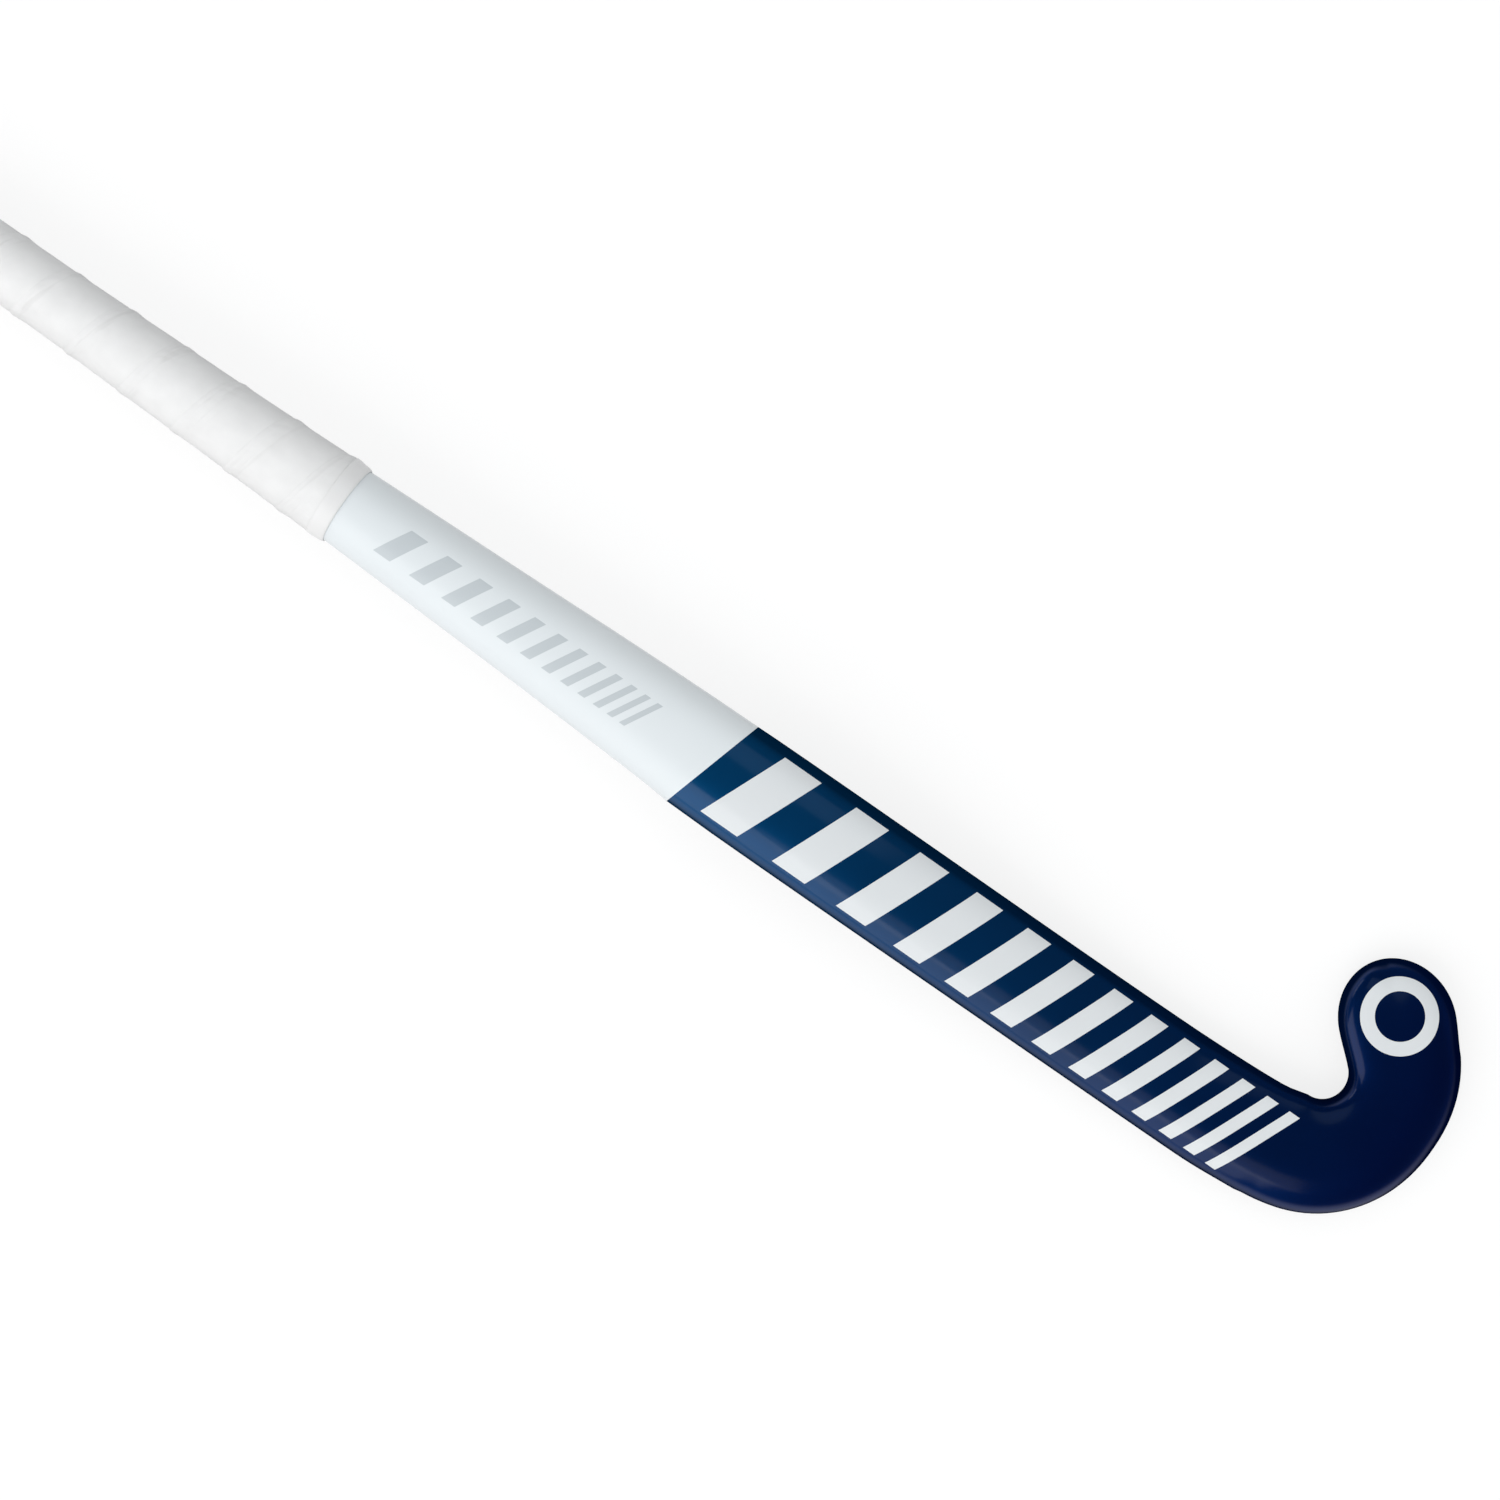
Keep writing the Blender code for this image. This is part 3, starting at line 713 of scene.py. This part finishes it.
def dress(piece, material):
    """Gives the piece this material and no other."""
    piece.data.materials.clear()
    piece.data.materials.append(material)
    print(piece.name, "wears", material.name)


print("bumps reach", BUMP_DISTANCE, "m at a height of 1")

# %% [markdown]
# ### Sprayed lacquer
# Lacquer over glass fibre is never quite flat. It has a fine orange peel, long soft ripples from
# the fibre below, and places that are a little duller where hands have been. One group makes all
# three, and each colour of the skin uses it with its own values. The gun sprays from the heel
# side, where the main lamp stands, so the walls that face away from it get a thin, dry coat without
# gloss. The group gives that too, as a mask that is 1 where the coat is wet and 0 where it is dry.
# The navy also darkens its colour with this mask, as painted shade on the steep walls and on the
# sides that turn away from the lamp.

# %% Lacquer group
TO_THE_GUN_AND_LAMP = (-0.35, -0.57, 0.74)
WET_AND_LIT_FROM, WET_AND_LIT_ALL_OVER = 0.17, 0.52
STEEP, LEVEL = 0.30, 0.75

lacquer, take, give = new_group(
    "sprayed_lacquer",
    [("Place", "Vector", None), ("Peel", "Float", 0.004), ("Ripple", "Float", 0.03),
     ("Gloss", "Float", 0.25), ("Smudge", "Float", 0.08)],
    [("Height", "Float"), ("Roughness", "Float"), ("Cloud", "Float"), ("Wet_and_lit", "Float")],
)
peel = mottle(lacquer, take["Place"], scale=420.0, detail=2.0)
lengthwise = stretched(lacquer, take["Place"], (7.0, 55.0, 55.0))
ripple = mottle(lacquer, lengthwise, scale=1.0, detail=1.0)
cloud = mottle(lacquer, take["Place"], scale=26.0, detail=5.0)
normal = node(lacquer, "NewGeometry").outputs["Normal"]
facing = node(lacquer, "VectorMath", {0: normal, 1: TO_THE_GUN_AND_LAMP}, operation="DOT_PRODUCT")
# 1 where the surface faces the gun, on the heel side where the main lamp stands; the navy darkens by
# this mask as painted shade.
wet_toward_lamp = remap(lacquer, facing.outputs["Value"], WET_AND_LIT_FROM, WET_AND_LIT_ALL_OVER, 0.0, 1.0, "SMOOTHSTEP")
upward = node(lacquer, "SeparateXYZ", {0: normal}).outputs["Z"]
level = remap(lacquer, upward, STEEP, LEVEL, 0.0, 1.0, "SMOOTHSTEP")
height = maths(lacquer, "MULTIPLY", peel, take["Peel"])
height = maths(lacquer, "MULTIPLY_ADD", ripple, take["Ripple"], height)
dull = maths(lacquer, "MULTIPLY_ADD", cloud, take["Smudge"], take["Gloss"])
lacquer.links.new(height, give["Height"])
lacquer.links.new(dull, give["Roughness"])
lacquer.links.new(cloud, give["Cloud"])
lacquer.links.new(maths(lacquer, "MULTIPLY", wet_toward_lamp, level), give["Wet_and_lit"])
print("lacquer group:", len(lacquer.nodes), "nodes")

# %% [markdown]
# ### Printed bars
# The stick is printed with rows of slanted bars that get shorter towards the head. They could be
# cut as thin plates and laid on the skin, but print has no thickness to speak of. So the bars are
# a mask in the paint. The period shrinks by a fixed ratio from bar to bar, so a logarithm turns the
# place along the shaft into the bar's number, and its fraction says bar or gap. The print is only
# on the back, where the surface looks up.

# %% Bars group
ON_BACK = 0.05
LAST_SHARE = 0.999


def back_only(tree):
    """1 on the stick's back, where the surface looks up, and 0 elsewhere."""
    normal = node(tree, "NewGeometry").outputs["Normal"]
    height = node(tree, "SeparateXYZ", {0: normal}).outputs["Z"]
    return maths(tree, "GREATER_THAN", height, ON_BACK)


bars, take, give = new_group(
    "slanted_bars",
    [("Place", "Vector", None), ("Start", "Float", 0.0), ("Period", "Float", 0.03),
     ("Ratio", "Float", 0.9), ("Count", "Float", 10.0), ("Share", "Float", 0.5),
     ("Slant", "Float", 0.4), ("Middle", "Float", 0.0), ("Half height", "Float", 0.01)],
    [("Mask", "Float")],
)
split = node(bars, "SeparateXYZ", {0: take["Place"]})
off = maths(bars, "SUBTRACT", split.outputs["Y"], take["Middle"])
along = maths(bars, "SUBTRACT", split.outputs["X"], maths(bars, "MULTIPLY", off, take["Slant"]))
along = maths(bars, "SUBTRACT", along, take["Start"])
shrink = maths(bars, "DIVIDE", maths(bars, "SUBTRACT", 1.0, take["Ratio"]), take["Period"])
spent = maths(bars, "MULTIPLY", along, shrink)
number = maths(bars, "LOGARITHM", maths(bars, "SUBTRACT", 1.0, spent), take["Ratio"])
mask = maths(bars, "LESS_THAN", maths(bars, "FRACT", number), take["Share"])
started = maths(bars, "GREATER_THAN", along, 0.0)
not_over = maths(bars, "LESS_THAN", number, take["Count"])
in_reach = maths(bars, "LESS_THAN", spent, LAST_SHARE)
in_band = maths(bars, "LESS_THAN", maths(bars, "ABSOLUTE", off), take["Half height"])
for test in (started, not_over, in_reach, in_band, back_only(bars)):
    mask = maths(bars, "MULTIPLY", mask, test)
bars.links.new(mask, give["Mask"])
print("bars group:", len(bars.nodes), "nodes")

# %% [markdown]
# ### White lacquer
# The upper shaft is plain white with a row of pale grey bars. White paint sends back nearly all
# the light that enters it, so it needs only a weak gloss and a thin clear coat to look right. Its
# white has a touch of blue, which keeps it apart from the warmer white of the grip.

# %% White lacquer
SHAFT_WHITES = (0.81, 0.86, 0.885, 1), (0.84, 0.885, 0.91, 1)
BAR_GREY = (0.60, 0.65, 0.68, 1)

white_paint, tree, shader = new_material(
    "white_lacquer", roughness=0.3, Coat_Weight=0.2, Coat_Roughness=0.2, Specular_IOR_Level=0.3
)
spot = object_place(tree)
surface = use_group(tree, lacquer, Place=spot, Peel=0.003, Ripple=0.03, Gloss=0.26, Smudge=0.1)
grey_bars = use_group(
    tree, bars, Place=spot, Start=-0.0165, Period=0.0165, Ratio=0.9, Count=12.0, Share=0.45,
    Slant=0.55, Middle=-0.0358, Half_height=0.0072,
)
shade = blend(tree, surface["Cloud"], *SHAFT_WHITES)
printed = blend(tree, grey_bars["Mask"], shade, BAR_GREY)
feed(tree, shader, Base_Color=printed, Roughness=surface["Roughness"])
emboss(tree, shader, surface["Height"])
dress(white_shaft, white_paint)

# %% [markdown]
# ### Navy lacquer
# The lower shaft and the head are a deep navy that darkens towards the head. The paint holds fine
# pearl flakes below a clear coat: the flakes send back a broad blue sheen, and the coat a narrow
# Gloss alone would give only the white one, so the flakes are a share of Metallic and
# the clear part is Coat Weight. Both work only where the paint lies wet. Where it is dry, on the
# steep walls and the sides turned away from the heel-side lamp, the navy is also painted darker:
# painted shade. White bars and a plain ring on the toe are printed over the paint, and there the
# flakes don't show.

# %% Print on the navy
TOE_RING = (0.4025, 0.0362)
TOE_RING_RADIUS = 0.0125
TOE_RING_HALF_WIDTH = 0.0028

navy_paint, tree, shader = new_material(
    "navy_lacquer", roughness=0.4, Specular_IOR_Level=0.0, Coat_Roughness=0.14
)
spot = object_place(tree)
white_bars = use_group(
    tree, bars, Place=spot, Start=0.1445, Period=0.033, Ratio=0.9, Count=13.0, Share=0.5,
    Slant=0.42, Middle=-0.0354, Half_height=0.0175,
)
split = node(tree, "SeparateXYZ", {0: spot})
ring_x = maths(tree, "SUBTRACT", split.outputs["X"], TOE_RING[0])
ring_y = maths(tree, "SUBTRACT", split.outputs["Y"], TOE_RING[1])
square = maths(tree, "MULTIPLY_ADD", ring_x, ring_x, maths(tree, "MULTIPLY", ring_y, ring_y))
radius = maths(tree, "SQRT", square)
ring_mask = maths(tree, "COMPARE", radius, TOE_RING_RADIUS, TOE_RING_HALF_WIDTH)
ring_mask = maths(tree, "MULTIPLY", ring_mask, back_only(tree))
ink = maths(tree, "MAXIMUM", white_bars["Mask"], ring_mask)
print("nodes of the print:", len(tree.nodes))

# %% Navy paint
SHAFT_NAVY, HEAD_NAVY = (0.0, 0.0635, 0.190, 1), (0.0, 0.0098, 0.086, 1)
INK_WHITE = (0.78, 0.81, 0.83, 1)
NAVY_DEEPENS = (0.13, 0.43)
CLOUD_RANGE, CLOUD_SHADES = (0.3, 0.7), (0.94, 1.06)
# Painted shade: how dark the navy turns on the steep walls and the sides away from the lamp.
PAINTED_SIDE_SHADE = 0.31
SHAFT_FLAKES, HEAD_FLAKES = 0.55, 0.72
SHAFT_CLEAR, HEAD_CLEAR = 0.68, 0.50
INK_HEIGHT = 0.02

surface = use_group(tree, lacquer, Place=spot, Peel=0.004, Ripple=0.04, Gloss=0.37, Smudge=0.12)
deepening = remap(tree, split.outputs["X"], *NAVY_DEEPENS, 0.0, 1.0)
shade = blend(tree, deepening, SHAFT_NAVY, HEAD_NAVY)
shade = scaled(tree, shade, remap(tree, surface["Cloud"], *CLOUD_RANGE, *CLOUD_SHADES))
# Painted shade: the navy is darker where the mask is 0, on the sides the lamp doesn't face.
shade = scaled(tree, shade, remap(tree, surface["Wet_and_lit"], 0.0, 1.0, PAINTED_SIDE_SHADE, 1.0))
flakes = remap(tree, deepening, 0.0, 1.0, SHAFT_FLAKES, HEAD_FLAKES)
clear = remap(tree, deepening, 0.0, 1.0, SHAFT_CLEAR, HEAD_CLEAR)
wet_paint = maths(tree, "MULTIPLY", maths(tree, "SUBTRACT", 1.0, ink), surface["Wet_and_lit"])
feed(
    tree, shader, Base_Color=blend(tree, ink, shade, INK_WHITE), Roughness=surface["Roughness"],
    Metallic=maths(tree, "MULTIPLY", wet_paint, flakes),
    Coat_Weight=maths(tree, "MULTIPLY", surface["Wet_and_lit"], clear),
)
emboss(tree, shader, maths(tree, "MULTIPLY_ADD", ink, INK_HEIGHT, surface["Height"]))
dress(navy_head, navy_paint)

# %% [markdown]
# ### Soft grip
# The tape is a soft synthetic leather with a fine pebble and small pull wrinkles beside each lap.
# The wrinkles have to follow the tape round the handle, so they read the tape's own UV map, which
# gives the distance across the tape and along it. Little light reaches the bottom of a crease or the
# step of a lap, and a bump can't hold that light back, so the creases and the seams are painted a
# shade darker: painted shade.

# %% Wrinkles and pebble of the grip
WRINKLED_WIDTH = 0.011
WRINKLE_HEIGHT, PEBBLE_HEIGHT, GRAIN_HEIGHT, LUMP_HEIGHT = 0.36, 0.02, 0.03, 0.22

grip_leather, tree, shader = new_material(
    "white_grip", roughness=0.6, Sheen_Weight=0.15, Specular_IOR_Level=0.25
)
tape_place = node(tree, "UVMap", uv_map="tape").outputs[0]
spot = object_place(tree)
across = node(tree, "SeparateXYZ", {0: tape_place}).outputs[0]
pebble = node(tree, "TexVoronoi", {"Vector": spot, "Scale": 1600.0}, feature="SMOOTH_F1")
grain = mottle(tree, spot, scale=700.0, detail=3.0)
lumps = mottle(tree, spot, scale=130.0, detail=3.0)
pull = stretched(tree, tape_place, (380.0, 50.0, 1.0))
wrinkle = mottle(tree, pull, scale=1.0, detail=2.0)
near_edge = remap(tree, across, 0.0, WRINKLED_WIDTH, 1.0, 0.0, "SMOOTHSTEP")
height = maths(tree, "MULTIPLY", maths(tree, "MULTIPLY", wrinkle, near_edge), WRINKLE_HEIGHT)
height = maths(tree, "MULTIPLY_ADD", pebble.outputs[0], PEBBLE_HEIGHT, height)
height = maths(tree, "MULTIPLY_ADD", grain, GRAIN_HEIGHT, height)
height = maths(tree, "MULTIPLY_ADD", lumps, LUMP_HEIGHT, height)
emboss(tree, shader, height)
print("nodes of the grip's relief:", len(tree.nodes))

# %% Colour of the grip
GRIP_WHITES = (0.835, 0.835, 0.835, 1), (0.93, 0.93, 0.93, 1)
PAINTED_SHADE_GREY = (0.50, 0.49, 0.48, 1)
CREASE_DEEP, CREASE_OVER = 0.36, 0.52
CREASES_START, CREASES_FULL = 0.0010, 0.0034
CREASE_AT_SEAM = 0.15
CREASE_SHADE = 0.20
SEAM_WIDTH = 0.0005
SEAM_SHADE = 0.03
LEAST_ROUGH, GRAIN_ROUGH = 0.48, 0.2

crease = remap(tree, wrinkle, CREASE_DEEP, CREASE_OVER, 1.0, 0.0, "SMOOTHSTEP")
past_seam = remap(tree, across, CREASES_START, CREASES_FULL, CREASE_AT_SEAM, 1.0)
crease = maths(tree, "MULTIPLY", maths(tree, "MULTIPLY", crease, near_edge), past_seam)
# Painted shade along each lap's seam, where the step throws its shadow.
seam = remap(tree, across, 0.0, SEAM_WIDTH, 1.0, 0.0)
seam = maths(tree, "MULTIPLY", seam, SEAM_SHADE)
shaded = maths(tree, "MULTIPLY_ADD", crease, CREASE_SHADE, seam)
# The grip's white, with painted shade in the creases and along the seams.
white_with_painted_shade = blend(tree, shaded, blend(tree, lumps, *GRIP_WHITES), PAINTED_SHADE_GREY)
rough = maths(tree, "MULTIPLY_ADD", grain, GRAIN_ROUGH, LEAST_ROUGH)
feed(tree, shader, Base_Color=white_with_painted_shade, Roughness=rough)
dress(grip, grip_leather)

# %% [markdown]
# ### Film and rubber
# The film is a smooth plastic, so the lacquer group suits it too, with more ripple. The cap is
# moulded rubber: dull, finely grained, and a little greyer in patches. Two noises would do for the
# patches and the dull spots, but on real rubber they lie in the same places, so one gives both.

# %% Film
FILM_WHITES = (0.86, 0.86, 0.86, 1), (0.89, 0.89, 0.89, 1)

film, tree, shader = new_material(
    "white_film", roughness=0.4, Coat_Weight=0.3, Coat_Roughness=0.2
)
spot = object_place(tree)
surface = use_group(tree, lacquer, Place=spot, Peel=0.01, Ripple=0.05, Gloss=0.3, Smudge=0.15)
shade = blend(tree, surface["Cloud"], *FILM_WHITES)
feed(tree, shader, Base_Color=shade, Roughness=surface["Roughness"])
emboss(tree, shader, surface["Height"])
dress(film_ring, film)

# %% Rubber
RUBBER_WHITES = (0.70, 0.695, 0.685, 1), (0.82, 0.82, 0.81, 1)
RUBBER_GRAIN_HEIGHT = 0.00006
RUBBER_ROUGH, RUBBER_DULLER = 0.45, 0.25

rubber, tree, shader = new_material("white_rubber", roughness=0.6, Specular_IOR_Level=0.3)
spot = object_place(tree)
marks = mottle(tree, spot, scale=120.0, detail=6.0)
grain = mottle(tree, spot, scale=900.0, detail=4.0)
rough = maths(tree, "MULTIPLY_ADD", marks, RUBBER_DULLER, RUBBER_ROUGH)
feed(tree, shader, Base_Color=blend(tree, marks, *RUBBER_WHITES), Roughness=rough)
emboss(tree, shader, grain, RUBBER_GRAIN_HEIGHT)
dress(cap, rubber)

# %% [markdown]
# ### The timber inside
# The strips, the cane, the rubber springs and the thread don't show in a finished stick. They
# still get their own finish, so that the stick can be opened up. Each could have nodes of its own,
# but one function does for all four: noise stretched along the stick, and a soft wave. On timber
# that reads as grain, and closer colours or an even stretch make rubber and thread of it.

# %% Timber, springs and thread
GRAIN_ALONG = 6.0
RINGS_SHARE, FIBRES_SHARE = 0.4, 0.6
GRAIN_RELIEF = 0.0001
GRAIN_ROUGHER = 0.2


def grained_material(name, dark, light, grain_scale, roughness):
    """A finish whose grain runs along the stick."""
    material, tree, shader = new_material(name, roughness, Specular_IOR_Level=0.25)
    fibre = stretched(tree, object_place(tree), (GRAIN_ALONG, grain_scale, grain_scale))
    grain = mottle(tree, fibre, scale=4.0, detail=6.0)
    ring = node(tree, "TexWave", {"Vector": fibre, "Scale": 1.2, "Distortion": 3.0}).outputs[1]
    grain_part = maths(tree, "MULTIPLY", grain, FIBRES_SHARE)
    shade = blend(tree, maths(tree, "MULTIPLY_ADD", ring, RINGS_SHARE, grain_part), dark, light)
    rough = maths(tree, "MULTIPLY_ADD", grain, GRAIN_ROUGHER, roughness - GRAIN_ROUGHER / 2)
    feed(tree, shader, Base_Color=shade, Roughness=rough)
    emboss(tree, shader, grain, GRAIN_RELIEF)
    return material


inner_finishes = {
    "head_strip": grained_material(
        "mulberry", (0.45, 0.27, 0.10, 1), (0.70, 0.50, 0.26, 1),
        grain_scale=90.0, roughness=0.6,
    ),
    "handle_cane": grained_material(
        "cane", (0.42, 0.26, 0.11, 1), (0.66, 0.47, 0.25, 1),
        grain_scale=220.0, roughness=0.7,
    ),
    "rubber_spring": grained_material(
        "black_rubber", (0.012, 0.012, 0.012, 1), (0.03, 0.03, 0.03, 1),
        grain_scale=500.0, roughness=0.75,
    ),
    "handle_binding": grained_material(
        "waxed_thread", (0.40, 0.35, 0.26, 1), (0.62, 0.57, 0.46, 1),
        grain_scale=6.0, roughness=0.7,
    ),
}
for name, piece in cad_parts.items():
    for start, finish in inner_finishes.items():
        if name.startswith(start):
            dress(piece, finish)

# %% [markdown]
# ## Studio
# The stick lies on a white sweep, as in a catalogue. One large soft lamp stands on the heel side
# and draws the long sheen there, so the toe side falls into a soft shade. Smaller lamps reach the
# head, the butt side and, in a cool white, the toe side. The floor is white to the camera and still
# takes the stick's shadow. Farther out its own glow takes over, so it runs into the white walls
# without an edge. In the lacquer the room mirrors as white near the ground and dark above, and
# everything else gets plain room light. One plain white world would be simpler, but it would
# mirror in all of the lacquer and turn the navy grey.

# %% Floor
FLOOR_SIZE = 12
FLOOR_DROP = 0.0002
PAPER_GREY, BLACK = (0.27, 0.27, 0.27, 1), (0.0, 0.0, 0.0, 1)
WHITE = (1, 1, 1, 1)
FADE_START, FADE_END = 0.9, 2.5
NEAR_GLOW, FULL_GLOW = 0.775, 1.0
GLOW_FULL_AT = 0.6


def mirrored_or_seen(tree):
    """1 for what the camera, a mirror or glass looks at, and 0 for what only gives light."""
    rays = node(tree, "LightPath").outputs
    seen = maths(tree, "MAXIMUM", rays["Is Camera Ray"], rays["Is Glossy Ray"])
    return maths(tree, "MAXIMUM", seen, rays["Is Transmission Ray"])


bpy.ops.mesh.primitive_plane_add(size=FLOOR_SIZE, location=(0, 0, -FLOOR_DROP))
floor = bpy.context.object
floor.name = "studio_floor"
floor.select_set(False)
sweep, tree, shader = new_material("studio_white", roughness=0.9, Specular_IOR_Level=0.0)
away = node(tree, "VectorMath", {0: object_place(tree)}, operation="LENGTH").outputs["Value"]
far = remap(tree, away, FADE_START, FADE_END, 0.0, 1.0, "SMOOTHSTEP")
feed(tree, shader, Base_Color=blend(tree, far, PAPER_GREY, BLACK))
brightness = remap(tree, far, 0.0, GLOW_FULL_AT, NEAR_GLOW, FULL_GLOW)
strength = maths(tree, "MULTIPLY", mirrored_or_seen(tree), brightness)
glow = node(tree, "Emission", {"Color": WHITE, "Strength": strength})
both = node(tree, "AddShader", {0: shader.outputs[0], 1: glow.outputs[0]})
tree.links.new(both.outputs[0], tree.nodes["Material Output"].inputs["Surface"])
dress(floor, sweep)

# %% World
ROOM_LIGHT = (0.72, 0.62)
CEILING = 0.02
WALL_FADE = (0.03, 0.30)

world = bpy.data.worlds.new("studio")
bpy.context.scene.world = world
world.use_nodes = True
tree = world.node_tree
background = tree.nodes["Background"]
climb = node(tree, "SeparateXYZ", {0: node(tree, "TexCoord").outputs["Generated"]}).outputs["Z"]
walls = remap(tree, climb, *WALL_FADE, 1.0, CEILING)
room = remap(tree, climb, 0.0, 1.0, *ROOM_LIGHT)
strength = node(tree, "Mix", {0: mirrored_or_seen(tree), 2: room, 3: walls}).outputs[0]
background.inputs["Color"].default_value = WHITE
tree.links.new(strength, background.inputs["Strength"])
print("room light from the ground up:", ROOM_LIGHT, "mirrored ceiling:", CEILING)

# %% Lamps
COOL_WHITE = (0.64, 0.89, 1.0)


def soft_lamp(name, stands_at, shines_at, width, depth, power, color=(1, 1, 1)):
    """A rectangular lamp; a larger one gives a softer shade."""
    lamp = bpy.data.lights.new(name, "AREA")
    lamp.shape = "RECTANGLE"
    lamp.size = width
    lamp.size_y = depth
    lamp.energy = power
    lamp.color = color
    stand = bpy.data.objects.new(name, lamp)
    bpy.context.scene.collection.objects.link(stand)
    stand.location = stands_at
    beam = Vector(shines_at) - Vector(stands_at)
    stand.rotation_euler = beam.to_track_quat("-Z", "Y").to_euler()
    print(name, "shines with", power, "W")


soft_lamp(
    "heel_side_lamp", stands_at=(-0.15, -1.45, 1.15), shines_at=(0.05, 0.0, 0.0),
    width=2.4, depth=1.7, power=17.4,
)
soft_lamp(
    "head_side_lamp", stands_at=(0.60, -0.60, 1.1), shines_at=(0.35, -0.02, 0.0),
    width=0.6, depth=0.45, power=0.5,
)
soft_lamp(
    "toe_side_fill", stands_at=(0.15, 0.5, 1.15), shines_at=(0.15, 0.0, 0.0),
    width=0.8, depth=0.65, power=0.7, color=COOL_WHITE,
)
soft_lamp(
    "butt_side_lamp", stands_at=(-1.7, 0.1, 0.78), shines_at=(0.2, 0.0, 0.0),
    width=1.0, depth=0.3, power=2.2,
)

# %% [markdown]
# ## Camera
# The photograph looks straight down on the stick and is turned so that the head lies at the lower
# right. The handle runs out of the frame at the left. The camera could be turned by trial until the
# picture fits, but the shaft's direction in the picture was measured, so the camera's own right and
# up are built from it.

# %% Camera
LENS, SENSOR = 72, 36
FARTHEST_SEEN = 20
PICTURE_RIGHT = (0.8190, 0.5738, 0)
CAMERA_PLACE = (0.1393, -0.0232, 1.171)

lens = bpy.data.cameras.new("studio_camera")
lens.lens = LENS
lens.sensor_width = SENSOR
lens.clip_end = FARTHEST_SEEN
camera = bpy.data.objects.new("studio_camera", lens)
bpy.context.scene.collection.objects.link(camera)
right = Vector(PICTURE_RIGHT).normalized()
up = Vector((-right.y, right.x, 0))
turn = Matrix((right, up, Vector((0, 0, 1)))).transposed()
camera.matrix_world = Matrix.Translation(CAMERA_PLACE) @ turn.to_4x4()
bpy.context.scene.camera = camera
bpy.context.scene.view_settings.view_transform = "Standard"
print("camera at", tuple(round(v, 4) for v in camera.location))
